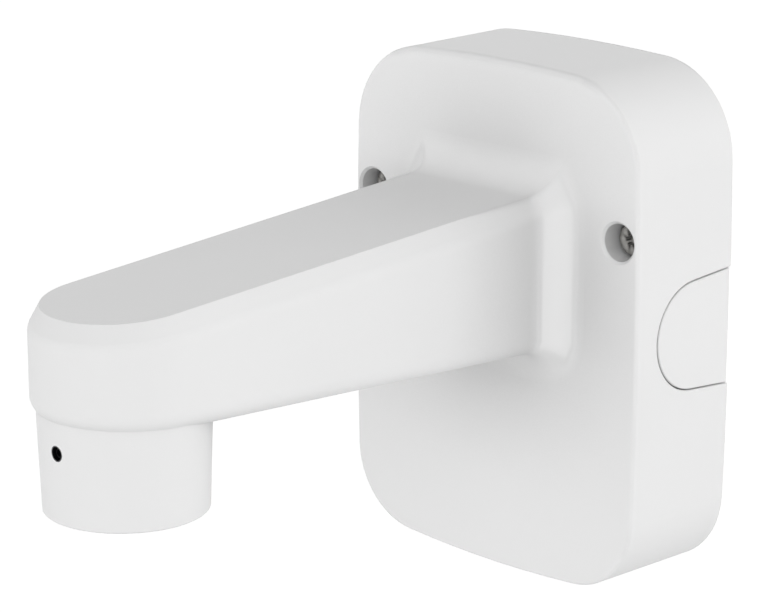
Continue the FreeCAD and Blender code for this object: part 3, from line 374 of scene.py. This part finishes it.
# %% Metal over the coat
casting_shader = node_of(casting, "BSDF_PRINCIPLED")
metal_colour, metal_rough, rings = machined_finish(casting, here["Z"])
# Painted shade: the tapped hole's wall is painted a dark grey.
tapped_painted_dark = add(
    casting, "ShaderNodeMix", {"data_type": "RGBA"}, {7: linear("5C5C5E")}, {0: tapped, 6: metal_colour},
).outputs[2]
colour = add(
    casting, "ShaderNodeMix", {"data_type": "RGBA"}, None,
    {0: bare, 6: casting_shader.inputs["Base Color"].links[0].from_socket, 7: tapped_painted_dark},
).outputs[2]
rough = add(
    casting, "ShaderNodeMix", {"data_type": "FLOAT"}, None,
    {0: bare, 2: casting_shader.inputs["Roughness"].links[0].from_socket, 3: metal_rough},
).outputs[0]
casting.links.new(colour, casting_shader.inputs["Base Color"])
casting.links.new(rough, casting_shader.inputs["Roughness"])
casting.links.new(bare, casting_shader.inputs["Metallic"])
finish_nodes(casting_coat, "bracket_casting")

# %% [markdown]
# ## The arm's upper edges melt into the box
# Along the arm the bevel has a crisp upper line, but towards the box that line fades and the corner
# turns soft, as a die's edge does where it is polished by hand into a big hollow fillet. The solid
# keeps the crisp line. A Bevel node turns the surface's direction as if the edge were rounder: here
# its radius grows from the coat's own to the wall's thickness over the last centimetres of the arm.

# %% Soft corners at the root of the arm
ROOT_SOFT = 5.0 * MM
ROOT_START, ROOT_END = -104 * MM, -70 * MM
BESIDE_ARM, CLEAR_OF_ARM = 50 * MM, 58 * MM
UPPER_START, UPPER_END = 15 * MM, 35 * MM

from_middle = add(casting, "ShaderNodeMath", {"operation": "ABSOLUTE"}, None, {0: here["X"]}).outputs[0]
ramps = []
for start, end, low, high, measure in (
    (ROOT_START, ROOT_END, 0.0, 1.0, here["Y"]),
    (BESIDE_ARM, CLEAR_OF_ARM, 1.0, 0.0, from_middle),
    (UPPER_START, UPPER_END, 0.0, 1.0, here["Z"]),
):
    ramps.append(add(
        casting, "ShaderNodeMapRange", {"interpolation_type": "SMOOTHSTEP"},
        {"From Min": start, "From Max": end, "To Min": low, "To Max": high}, {"Value": measure},
    ).outputs["Result"])
along, beside, upper = ramps
near_root = add(casting, "ShaderNodeMath", {"operation": "MULTIPLY"}, None, {0: along, 1: beside})
at_edge = add(
    casting, "ShaderNodeMath", {"operation": "MULTIPLY"}, None, {0: near_root.outputs[0], 1: upper},
).outputs[0]
soft = add(
    casting, "ShaderNodeMapRange", None, {"To Min": EDGE_FLOW, "To Max": ROOT_SOFT}, {"Value": at_edge},
).outputs["Result"]
edges = node_of(casting, "BEVEL")
casting.links.new(soft, edges.inputs["Radius"])
print("corners soften over", round((ROOT_END - ROOT_START) / MM), "mm")

# %% [markdown]
# ## A flat in the hollow
# The hollow fillet at the arm's root shows, beside the arm, as one even, bright band with a soft line
# at its edges, as if a flat had been dressed on it at 45 degrees. Above and below the arm it fades
# out. The solid has the plain fillet, and the flat lies within a millimetre of it. So the surface's
# direction is changed here and not its shape: where the fillet faces halfway between the arm's side
# and the box's front, it is made to face there exactly. The painted shade of the hollows is lifted
# on the flat, so it stays only in the creases beside it. Powder reaches the flat well, so its coat is
# full, and only the creases beside it stay thin.

# %% Which way the fillet faces
direction = edges.outputs["Normal"]
turned = add(casting, "ShaderNodeSeparateXYZ", None, None, {"Vector": direction}).outputs
sideways = add(
    casting, "ShaderNodeCombineXYZ", None, None, {"X": turned["X"], "Z": turned["Z"]},
).outputs[0]
outward = add(casting, "ShaderNodeVectorMath", {"operation": "LENGTH"}, None, {0: sideways})
outward_way = add(
    casting, "ShaderNodeVectorMath", {"operation": "NORMALIZE"}, None, {0: sideways},
).outputs[0]
forward = add(casting, "ShaderNodeMath", {"operation": "MULTIPLY"}, {1: -1.0}, {0: turned["Y"]})
least = add(
    casting, "ShaderNodeMath", {"operation": "MINIMUM"}, None,
    {0: outward.outputs["Value"], 1: forward.outputs[0]},
).outputs[0]
outward_x = add(casting, "ShaderNodeSeparateXYZ", None, None, {"Vector": outward_way}).outputs["X"]
to_the_side = add(casting, "ShaderNodeMath", {"operation": "ABSOLUTE"}, None, {0: outward_x}).outputs[0]

# %% Where the flat lies
FLARE_START, FLARE_EASE, FLARE_END = -68 * MM, 2 * MM, -53.2 * MM
# The flat begins where the lesser of the two slopes passes the first value and is full at the second.
HALFWAY_FROM, HALFWAY_TO = 0.15, 0.42
# It fades in the same way where the fillet turns to face up or down and no longer sideways.
SIDE_FROM, SIDE_TO = 0.35, 0.95

share = add(
    casting, "ShaderNodeMath", {"operation": "LESS_THAN"}, {1: FLARE_END}, {0: here["Y"]},
).outputs[0]
for start, end, measure in (
    (FLARE_START, FLARE_START + FLARE_EASE, here["Y"]),
    (HALFWAY_FROM, HALFWAY_TO, least),
    (SIDE_FROM, SIDE_TO, to_the_side),
):
    ramp = add(
        casting, "ShaderNodeMapRange", {"interpolation_type": "SMOOTHSTEP"},
        {"From Min": start, "From Max": end}, {"Value": measure},
    ).outputs["Result"]
    share = add(casting, "ShaderNodeMath", {"operation": "MULTIPLY"}, None, {0: share, 1: ramp}).outputs[0]
share = add(casting, "ShaderNodeMath", {"operation": "MULTIPLY"}, None, {0: share, 1: beside}).outputs[0]
print("flat band", round((FLARE_END - FLARE_START) / MM, 1), "mm long")

# %% Dress the flat
halfway = add(
    casting, "ShaderNodeVectorMath", {"operation": "ADD"}, {1: (0, -1, 0)}, {0: outward_way},
).outputs[0]
flat_way = add(casting, "ShaderNodeVectorMath", {"operation": "NORMALIZE"}, None, {0: halfway}).outputs[0]
dressed = add(
    casting, "ShaderNodeMix", {"data_type": "VECTOR"}, None, {0: share, 4: direction, 5: flat_way},
).outputs[1]
casting.links.new(dressed, node_of(casting, "BUMP").inputs["Normal"])
casting.links.new(dressed, node_of(casting, "AMBIENT_OCCLUSION").inputs["Normal"])
# The painted shade of the hollows is lifted where the flat lies.
hollow_shade_socket = next(node for node in casting.nodes if node.label == "coat thickness").inputs["Value"]
shade_lifted_on_flat = add(
    casting, "ShaderNodeMath", {"operation": "MAXIMUM"}, None,
    {0: share, 1: hollow_shade_socket.links[0].from_socket},
).outputs[0]
casting.links.new(shade_lifted_on_flat, hollow_shade_socket)
print("the casting's material has", len(casting.nodes), "nodes")

# %% [markdown]
# ## Threads
# A thread is one V-shaped ridge that winds round a cylinder. It follows a rule, so Geometry Nodes suit
# it: a spiral is the path, a trapezoid is the ridge, and the ridge shrinks to nothing at both ends,
# where the tool runs in and out. One tree cuts every thread here, the pipe thread inside the collar as
# well as the small ones on the screws, from five sizes.

# %% The thread's path
STEPS_PER_TURN = 64
# The ridge's size at its very ends, as a share of its full size.
RUNOUT_TIP = 0.02

thread_tree = bpy.data.node_groups.new("thread_ridge", "GeometryNodeTree")
sockets = thread_tree.interface
for name in ("Root Radius", "Crest Radius", "Pitch", "Length", "Runout Turns"):
    sockets.new_socket(name, in_out="INPUT", socket_type="NodeSocketFloat")
sockets.new_socket("Material", in_out="INPUT", socket_type="NodeSocketMaterial")
sockets.new_socket("Mesh", in_out="OUTPUT", socket_type="NodeSocketGeometry")

size = add(thread_tree, "NodeGroupInput").outputs
turns = add(
    thread_tree, "ShaderNodeMath", {"operation": "DIVIDE"}, None, {0: size["Length"], 1: size["Pitch"]},
).outputs[0]
spiral = add(
    thread_tree, "GeometryNodeCurveSpiral", None, {"Resolution": STEPS_PER_TURN},
    {"Rotations": turns, "Start Radius": size["Root Radius"], "End Radius": size["Root Radius"],
     "Height": size["Length"]},
).outputs[0]
upright = add(
    thread_tree, "GeometryNodeSetCurveNormal", {"mode": "Z_UP"}, None, {"Curve": spiral},
).outputs[0]
print("a thread has", STEPS_PER_TURN, "steps a turn")

# %% The runout at both ends
done = add(thread_tree, "GeometryNodeSplineParameter").outputs["Factor"]
to_go = add(thread_tree, "ShaderNodeMath", {"operation": "SUBTRACT"}, {0: 1.0}, {1: done}).outputs[0]
nearer = add(thread_tree, "ShaderNodeMath", {"operation": "MINIMUM"}, None, {0: done, 1: to_go})
turns_from_end = add(
    thread_tree, "ShaderNodeMath", {"operation": "MULTIPLY"}, None, {0: nearer.outputs[0], 1: turns},
).outputs[0]
grown = add(
    thread_tree, "ShaderNodeMapRange", None, {"To Min": RUNOUT_TIP, "To Max": 1.0},
    {"Value": turns_from_end, "From Max": size["Runout Turns"]},
).outputs["Result"]
sized = add(
    thread_tree, "GeometryNodeSetCurveRadius", None, None, {"Curve": upright, "Radius": grown},
).outputs[0]
print("the ridge starts at", round(RUNOUT_TIP * 100), "percent of its full size")

# %% The ridge's section, swept along the path
# Half widths of the ridge's foot and crest as shares of the pitch, at the root or at the crest.
HALF_FOOT, HALF_CREST = 0.48, 0.09
SECTION = ((False, HALF_FOOT), (False, -HALF_FOOT), (True, -HALF_CREST), (True, HALF_CREST))

height = add(
    thread_tree, "ShaderNodeMath", {"operation": "SUBTRACT"}, None,
    {0: size["Root Radius"], 1: size["Crest Radius"]},
).outputs[0]
corners = {}
for at_crest, pitches in SECTION:
    offset = add(
        thread_tree, "ShaderNodeMath", {"operation": "MULTIPLY"}, {1: pitches}, {0: size["Pitch"]},
    ).outputs[0]
    corner = add(
        thread_tree, "ShaderNodeCombineXYZ", None, None,
        {"X": height, "Y": offset} if at_crest else {"Y": offset},
    ).outputs[0]
    corners[f"Point {len(corners) + 1}"] = corner
ridge = add(
    thread_tree, "GeometryNodeCurvePrimitiveQuadrilateral", {"mode": "POINTS"}, None, corners,
).outputs[0]
swept = add(
    thread_tree, "GeometryNodeCurveToMesh", None, {"Fill Caps": True},
    {"Curve": sized, "Profile Curve": ridge},
).outputs[0]
real = add(thread_tree, "GeometryNodeRealizeInstances", None, None, {"Geometry": swept}).outputs[0]
covered = add(
    thread_tree, "GeometryNodeSetMaterial", None, None, {"Geometry": real, "Material": size["Material"]},
).outputs[0]
add(thread_tree, "NodeGroupOutput", None, None, {"Mesh": covered})
print("thread tree with", len(thread_tree.nodes), "nodes")

# %% [markdown]
# ## Running the tree
# The tree needs an object to run on. An empty one carries it just long enough: its sizes are set, the
# result is read as a plain mesh, and the carrier goes. Its faces are turned outwards and shaded
# smooth, but the ridge's edges stay sharp.

# %% Cut a thread
SHARP = math.radians(25)
RUNOUT_TURNS = 0.75


def cut_thread(root, crest, pitch, length, material):
    """A thread's ridge as a plain mesh, winding up the Z axis from the origin."""
    carrier = bpy.data.objects.new("thread", bpy.data.meshes.new("thread"))
    bpy.context.scene.collection.objects.link(carrier)
    modifier = carrier.modifiers.new("thread", "NODES")
    modifier.node_group = thread_tree
    chosen = {
        "Root Radius": root, "Crest Radius": crest, "Pitch": pitch, "Length": length,
        "Runout Turns": RUNOUT_TURNS, "Material": material,
    }
    for item in thread_tree.interface.items_tree:
        if item.name in chosen:
            modifier[item.identifier] = chosen[item.name]
    shown = carrier.evaluated_get(bpy.context.evaluated_depsgraph_get())
    mesh = bpy.data.meshes.new_from_object(shown)
    bpy.data.objects.remove(carrier)
    shape = bmesh.new()
    shape.from_mesh(mesh)
    bmesh.ops.recalc_face_normals(shape, faces=shape.faces)
    for face in shape.faces:
        face.smooth = True
    shape.to_mesh(mesh)
    shape.free()
    mesh.set_sharp_from_angle(angle=SHARP)
    print(f"thread of pitch {pitch / MM:.3f} mm:", len(mesh.polygons), "faces")
    return mesh


def place_piece(name, mesh):
    """A finished piece with its place in its mesh, riding on the one body that there is."""
    piece = bpy.data.objects.new(name, mesh)
    bpy.context.scene.collection.objects.link(piece)
    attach(piece, "root")
    return piece


# %% [markdown]
# ## Machined casting alloy
# A single-point tool cuts the collar's thread into the bare casting. The eye sees bright metal,
# crossed by fine rings where the tool's tip has passed. The rings are really under a tenth of a
# millimetre apart, and are drawn three times as coarse so that they show. An Ambient Occlusion node
# with a reach of about half the pitch darkens the colour in the grooves between the ridges: painted
# shade.

# %% Machined alloy with painted shade in the grooves
MARK_DEPTH = 0.01 * MM
GROOVE_REACH = 1.2 * MM

machined, tree, shader, place = new_material("machined_casting_alloy", metallic=1.0)
up = add(tree, "ShaderNodeSeparateXYZ", None, None, {"Vector": place}).outputs["Z"]
metal_colour, metal_rough, rings = machined_finish(tree, up)
# Painted shade: the colour darkens where the grooves close in.
groove = add(
    tree, "ShaderNodeAmbientOcclusion", {"samples": 6}, {"Distance": GROOVE_REACH},
).outputs["AO"]
painted_groove_shade = add(
    tree, "ShaderNodeMapRange", None, {"From Min": 0.45, "From Max": 0.90}, {"Value": groove},
).outputs["Result"]
groove_shaded_colour = add(
    tree, "ShaderNodeMix", {"data_type": "RGBA"}, {6: linear("6B6C6E")}, {0: painted_groove_shade, 7: metal_colour},
).outputs[2]
scratches = add(
    tree, "ShaderNodeBump", None, {"Strength": 0.3, "Distance": MARK_DEPTH}, {"Height": rings},
).outputs["Normal"]
feed(tree, shader, groove_shaded_colour, metal_rough, scratches)
print(machined.name, "with tool marks", TOOL_MARKS / MM, "mm apart")

# %% [markdown]
# ## The collar's pipe thread
# The collar takes the 1 1/2 inch parallel pipe thread of a pendant camera: 11 turns to the inch, so a
# pitch of 2.309 mm, with ridges 1.48 mm high. The solid's bore is plain at the thread's roots, so the
# ridge only has to be cut, moved to the collar's axis and given to the body.

# %% The collar's thread
# The bore's radius is 23.90 mm, so the ridge's foot sinks 0.05 mm into its wall.
PIPE_ROOT, PIPE_CREST, PIPE_PITCH = 23.95 * MM, 22.42 * MM, 2.309 * MM
THREAD_BOTTOM, THREAD_TOP = -31.6 * MM, -4.4 * MM

pipe_thread = cut_thread(PIPE_ROOT, PIPE_CREST, PIPE_PITCH, THREAD_TOP - THREAD_BOTTOM, machined)
pipe_thread.transform(Matrix.Translation((0, COLLAR_Y, THREAD_BOTTOM)))
place_piece("collar_thread", pipe_thread)
inner = min(math.hypot(v.co.x, v.co.y - COLLAR_Y) for v in pipe_thread.vertices)
print("clear bore of the thread in mm:", round(2 * inner / MM, 2))

# %% [markdown]
# ## Stainless steel, turned and rolled
# The fixing screws that hold the casting to its posts, and the earth screw with its washer, are plain
# stainless steel. Their heads are turned, so fine circles run round each screw's own axis and spread
# its highlight. The six-lobed drive is pressed in, and an Ambient Occlusion node darkens the colour in
# it and in the other narrow hollows: painted shade. Each screw's axis is the middle of its pattern,
# and the two fixing screws share one material, because it is measured from the mirror plane.

# %% Circles round a screw's axis
FIXING_X, FIXING_Z, EARTH_Z = 64.3 * MM, 39.9 * MM, -58.0 * MM
HEAD_MARKS = 0.28 * MM


def head_rings(tree, place, axis_x, axis_z):
    """Turning marks round an axis that runs along Y, at either side of the mirror plane."""
    spot = add(tree, "ShaderNodeSeparateXYZ", None, None, {"Vector": place}).outputs
    side = add(tree, "ShaderNodeMath", {"operation": "ABSOLUTE"}, None, {0: spot["X"]}).outputs[0]
    mirrored = add(tree, "ShaderNodeCombineXYZ", None, None, {"X": side, "Z": spot["Z"]}).outputs[0]
    centred = add(
        tree, "ShaderNodeMapping", None, {"Location": (-axis_x, 0.0, -axis_z)}, {"Vector": mirrored},
    ).outputs["Vector"]
    return add(
        tree, "ShaderNodeTexWave", {"wave_type": "RINGS", "rings_direction": "SPHERICAL"},
        {"Scale": WAVE_REPEAT / HEAD_MARKS, "Distortion": 0.6, "Detail": 2.0, "Detail Scale": 2.0},
        {"Vector": centred},
    ).outputs["Fac"]


# %% Stainless steel
STAINS, DRIVE_DEPTH = 2.5 * MM, 1.6 * MM


def turned_stainless(name, axis_x, axis_z):
    """Stainless steel that was turned round an axis, with painted shade in its drive and other hollows."""
    material, tree, shader, place = new_material(name, metallic=1.0)
    rings = head_rings(tree, place, axis_x, axis_z)
    stain = add(
        tree, "ShaderNodeTexNoise", None, {"Scale": 1 / STAINS, "Detail": 3.0}, {"Vector": place},
    ).outputs["Fac"]
    steel = add(
        tree, "ShaderNodeMix", {"data_type": "RGBA"}, {6: linear("8C8B88"), 7: linear("9E9C99")},
        {0: stain},
    ).outputs[2]
    # Painted shade: the colour darkens in the drive and other narrow hollows.
    openness = add(
        tree, "ShaderNodeAmbientOcclusion", {"samples": 6}, {"Distance": DRIVE_DEPTH},
    ).outputs["AO"]
    painted_recess_shade = add(
        tree, "ShaderNodeMapRange", None, {"From Min": 0.40, "From Max": 0.85}, {"Value": openness},
    ).outputs["Result"]
    colour = add(
        tree, "ShaderNodeMix", {"data_type": "RGBA"}, {6: linear("262524")}, {0: painted_recess_shade, 7: steel},
    ).outputs[2]
    rough = add(
        tree, "ShaderNodeMapRange", None, {"To Min": 0.34, "To Max": 0.44}, {"Value": rings},
    ).outputs["Result"]
    marks = add(
        tree, "ShaderNodeBump", None, {"Strength": 0.10, "Distance": MARK_DEPTH}, {"Height": rings},
    ).outputs["Normal"]
    feed(tree, shader, colour, rough, marks)
    return material


fixing_steel = turned_stainless("turned_stainless_fixing", FIXING_X, FIXING_Z)
earth_steel = turned_stainless("turned_stainless_earth", 0.0, EARTH_Z)
finish_nodes(earth_steel, "earth_washer")

# %% [markdown]
# ## Black oxide steel
# The set screw that locks the camera's pipe is hardened and then blackened in a hot salt bath. The
# film is a few thousandths of a millimetre thick: deep grey rather than black, a little mottled where
# the oil that seals it has dried, and the steel's own gloss still shows through.

# %% Black oxide
OIL_PATCHES, FILM_RELIEF = 0.9 * MM, 0.01 * MM

black_oxide, tree, shader, place = new_material("oil_sealed_black_oxide", metallic=1.0)
mottle = add(
    tree, "ShaderNodeTexNoise", None, {"Scale": 1 / OIL_PATCHES, "Detail": 4.0, "Roughness": 0.6},
    {"Vector": place},
).outputs["Fac"]
film = add(
    tree, "ShaderNodeMix", {"data_type": "RGBA"}, {6: linear("232326"), 7: linear("39383A")}, {0: mottle},
).outputs[2]
oily = add(
    tree, "ShaderNodeMapRange", None, {"To Min": 0.32, "To Max": 0.52}, {"Value": mottle},
).outputs["Result"]
skin = add(
    tree, "ShaderNodeBump", None, {"Strength": 0.2, "Distance": FILM_RELIEF}, {"Height": mottle},
).outputs["Normal"]
feed(tree, shader, film, oily, skin)
print(black_oxide.name, "with patches", OIL_PATCHES / MM, "mm across")

# %% [markdown]
# ## Real threads on the screws
# The solids have plain shanks at the threads' crests. To cut a thread, the shank is drawn in to the
# thread's root and a ridge from the tree is wound round it. The head stays the solid's own: its mesh
# is copied and its loose triangles are merged first, then only the shank's vertices move. The
# dressed screw takes the place of the solid.

# %% Draw in a shank
MERGE_DISTANCE = 0.002 * MM
HEAD_GUARD, CREST_GUARD = 0.005 * MM, 0.02 * MM
# What lies nearer to the axis than this share of the root's radius is the shank's end, not its side.
SHANK_FROM = 0.8


def drawn_in(node, x, z, start, end, root, crest):
    """A copy of a CAD screw's mesh whose shank, from one Y level on, is as thin as the thread's root."""
    shape = bmesh.new()
    shape.from_mesh(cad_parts[node].data)
    bmesh.ops.remove_doubles(shape, verts=shape.verts, dist=MERGE_DISTANCE)
    forward = 1 if end > start else -1
    for vertex in shape.verts:
        out = Vector((vertex.co.x - x, 0, vertex.co.z - z))
        past_head = (vertex.co.y - start) * forward > -HEAD_GUARD
        if past_head and SHANK_FROM * root < out.length < crest + CREST_GUARD:
            out = out * (root / crest)
            vertex.co = Vector((x + out.x, vertex.co.y, z + out.z))
    for face in shape.faces:
        face.smooth = True
    return shape


# %% Wind the ridge round it
# The ridge stays this share of a pitch inside both ends, and its foot sinks into the shank.
END_MARGIN = 0.62
ROOT_OVERLAP = 0.02 * MM


def threaded_screw(node, x, z, start, end, root, crest, pitch, material):
    """A CAD screw with a real thread on its shank, from one Y level to another, in its place."""
    forward = 1 if end > start else -1
    margin = END_MARGIN * pitch
    ridge = cut_thread(root - ROOT_OVERLAP, crest, pitch, abs(end - start) - 2 * margin, material)
    along_y = Matrix.Rotation(math.radians(-90 * forward), 4, "X")
    ridge.transform(Matrix.Translation((x, start + margin * forward, z)) @ along_y)
    shape = drawn_in(node, x, z, start, end, root, crest)
    shape.from_mesh(ridge)
    mesh = bpy.data.meshes.new(node + "_threaded")
    shape.to_mesh(mesh)
    shape.free()
    mesh.materials.append(material)
    mesh.set_sharp_from_angle(angle=SHARP)
    piece = place_piece(node + "_threaded", mesh)
    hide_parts(node)


# %% The four screws
for side, x in (("left", -FIXING_X), ("right", FIXING_X)):
    threaded_screw(
        f"fixing_screw_{side}", x, FIXING_Z, start=-41.5 * MM, end=-19.5 * MM,
        root=2.39 * MM, crest=3.0 * MM, pitch=1.0 * MM, material=fixing_steel,
    )
threaded_screw(
    "earth_screw", 0.0, EARTH_Z, start=-39.6 * MM, end=-46.6 * MM,
    root=1.57 * MM, crest=2.0 * MM, pitch=0.7 * MM, material=earth_steel,
)
threaded_screw(
    "set_screw", 0.0, SET_SCREW_Z, start=-263.9 * MM, end=-258.9 * MM,
    root=2.0 * MM, crest=2.45 * MM, pitch=0.8 * MM, material=black_oxide,
)

# %% [markdown]
# ## Zinc-plated pressed steel
# The wall plate is pressed from 2.5 mm sheet and its posts are turned, then both are zinc plated and
# passivated. Rolling leaves a faint grain along the sheet, the plating clouds into bluish patches a
# few millimetres across, and the passivation adds a whisper of yellow. The grain is a noise that is
# stretched a hundredfold along X by a Mapping node.

# %% The colour of the plating
PLATING_CLOUDS, YELLOW_PATCHES = 7.0 * MM, 31 * MM

zinc, tree, shader, place = new_material("zinc_plated_pressed_steel", metallic=1.0)
clouds = add(
    tree, "ShaderNodeTexNoise", None, {"Scale": 1 / PLATING_CLOUDS, "Detail": 4.0, "Roughness": 0.55},
    {"Vector": place},
).outputs["Fac"]
plated = add(
    tree, "ShaderNodeMix", {"data_type": "RGBA"}, {6: linear("AEB4BA"), 7: linear("C6C8C6")}, {0: clouds},
).outputs[2]
passive = add(
    tree, "ShaderNodeTexNoise", None, {"Scale": 1 / YELLOW_PATCHES, "Detail": 1.0}, {"Vector": place},
).outputs["Fac"]
tint = add(
    tree, "ShaderNodeMapRange", None, {"From Min": 0.45, "From Max": 0.75, "To Max": 0.25},
    {"Value": passive},
).outputs["Result"]
colour = add(
    tree, "ShaderNodeMix", {"data_type": "RGBA"}, {7: linear("CBC6A8")}, {0: tint, 6: plated},
).outputs[2]
print("plating with clouds", round(PLATING_CLOUDS / MM, 1), "mm across")

# %% The grain of the sheet
GRAIN_WIDTH, GRAIN_DEPTH, GRAIN_STRETCH = 0.35 * MM, 0.008 * MM, 0.01

stretched = add(
    tree, "ShaderNodeMapping", None, {"Scale": (GRAIN_STRETCH, 1.0, 1.0)}, {"Vector": place},
).outputs[0]
grain = add(
    tree, "ShaderNodeTexNoise", None, {"Scale": 1 / GRAIN_WIDTH, "Detail": 2.0}, {"Vector": stretched},
).outputs["Fac"]
both = add(tree, "ShaderNodeMath", {"operation": "MULTIPLY"}, None, {0: grain, 1: clouds}).outputs[0]
rough = add(
    tree, "ShaderNodeMapRange", None,
    {"From Min": 0.1, "From Max": 0.45, "To Min": 0.30, "To Max": 0.46}, {"Value": both},
).outputs["Result"]
rolled = add(
    tree, "ShaderNodeBump", None, {"Strength": 0.2, "Distance": GRAIN_DEPTH}, {"Height": grain},
).outputs["Normal"]
feed(tree, shader, colour, rough, rolled)
finish_nodes(zinc, "wall_plate", "plate_post_left", "plate_post_right")

# %% [markdown]
# ## Moulded rubber
# The cable grommet, the cords behind the side covers and the rings under the screw heads are black
# EPDM rubber. It comes from an eroded steel mould, which leaves a fine leathery texture, and after a
# while wax blooms on it as a grey haze in patches. The texture is half a millimetre from crest to
# crest and 0.02 mm deep.

# %% Rubber
MOULD_TEXTURE, MOULD_DEPTH, BLOOM = 0.5 * MM, 0.02 * MM, 6.0 * MM

rubber, tree, shader, place = new_material("moulded_epdm_rubber")
texture = add(
    tree, "ShaderNodeTexNoise", None, {"Scale": 1 / MOULD_TEXTURE, "Detail": 2.0}, {"Vector": place},
).outputs["Fac"]
haze = add(
    tree, "ShaderNodeTexNoise", None, {"Scale": 1 / BLOOM, "Detail": 3.0}, {"Vector": place},
).outputs["Fac"]
bloomed = add(
    tree, "ShaderNodeMapRange", None, {"From Min": 0.35, "From Max": 0.75}, {"Value": haze},
).outputs["Result"]
colour = add(
    tree, "ShaderNodeMix", {"data_type": "RGBA"}, {6: linear("19191A"), 7: linear("29292B")}, {0: bloomed},
).outputs[2]
rough = add(
    tree, "ShaderNodeMapRange", None, {"To Min": 0.55, "To Max": 0.82}, {"Value": bloomed},
).outputs["Result"]
leathery = add(
    tree, "ShaderNodeBump", None, {"Strength": 0.5, "Distance": MOULD_DEPTH}, {"Height": texture},
).outputs["Normal"]
feed(tree, shader, colour, rough, leathery)
finish_nodes(
    rubber, "cable_grommet", "screw_seal_left", "screw_seal_right", "cover_seal_left", "cover_seal_right",
)

# %% [markdown]
# ## Closed-cell foam
# The sheet between the plate and the wall is polyethylene foam, skived to 2 mm. The knife opens the
# outermost cells, so its faces are a crowd of shallow cups 0.8 mm across with thin walls between
# them, and each cup is a slightly different grey. Voronoi cells are just that pattern.

# %% Foam
CELL, CUP_DEPTH, WALL_SHARE = 0.8 * MM, 0.15 * MM, 0.25

foam, tree, shader, place = new_material("skived_polyethylene_foam")
cell = add(tree, "ShaderNodeTexVoronoi", {"feature": "F1"}, {"Scale": 1 / CELL}, {"Vector": place}).outputs
shade = add(tree, "ShaderNodeSeparateXYZ", None, None, {"Vector": cell["Color"]}).outputs["X"]
colour = add(
    tree, "ShaderNodeMix", {"data_type": "RGBA"}, {6: linear("353537"), 7: linear("4C4C4F")}, {0: shade},
).outputs[2]
from_wall = add(
    tree, "ShaderNodeTexVoronoi", {"feature": "DISTANCE_TO_EDGE"}, {"Scale": 1 / CELL}, {"Vector": place},
).outputs["Distance"]
wall_height = add(
    tree, "ShaderNodeMapRange", None, {"From Max": WALL_SHARE, "To Min": 1.0, "To Max": 0.0},
    {"Value": from_wall},
).outputs["Result"]
rough = add(
    tree, "ShaderNodeMapRange", None, {"To Min": 0.95, "To Max": 0.75}, {"Value": wall_height},
).outputs["Result"]
cups = add(
    tree, "ShaderNodeBump", None, {"Strength": 0.7, "Distance": CUP_DEPTH}, {"Height": wall_height},
).outputs["Normal"]
feed(tree, shader, colour, rough, cups)
finish_nodes(foam, "wall_gasket")

# %% [markdown]
# ## Natural nylon
# The small washers that keep the fixing screws from falling out are moulded in undyed nylon: milky,
# slightly yellow, and a little translucent at its thin edges. Subsurface scattering of a millimetre
# gives that glow, and faint flow lines cloud the colour.

# %% Nylon
FLOW_LINES, FLOW_DEPTH = 1.5 * MM, 0.01 * MM
GLOW_SHARE, GLOW_REACH = 0.15, 1.0 * MM

nylon, tree, shader, place = new_material("moulded_natural_nylon")
flow = add(
    tree, "ShaderNodeTexNoise", None, {"Scale": 1 / FLOW_LINES, "Detail": 3.0, "Distortion": 1.2},
    {"Vector": place},
).outputs["Fac"]
colour = add(
    tree, "ShaderNodeMix", {"data_type": "RGBA"}, {6: linear("D6D1C0"), 7: linear("E4E0D3")}, {0: flow},
).outputs[2]
rough = add(
    tree, "ShaderNodeMapRange", None, {"To Min": 0.34, "To Max": 0.50}, {"Value": flow},
).outputs["Result"]
waves = add(
    tree, "ShaderNodeBump", None, {"Strength": 0.15, "Distance": FLOW_DEPTH}, {"Height": flow},
).outputs["Normal"]
feed(tree, shader, colour, rough, waves)
shader.inputs["Subsurface Weight"].default_value = GLOW_SHARE
shader.inputs["Subsurface Scale"].default_value = GLOW_REACH
finish_nodes(nylon, "screw_retainer_left", "screw_retainer_right")

# %% Sizes
low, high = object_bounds()
print("visual box in mm:", [round(c / MM, 1) for c in (*low, *high)])
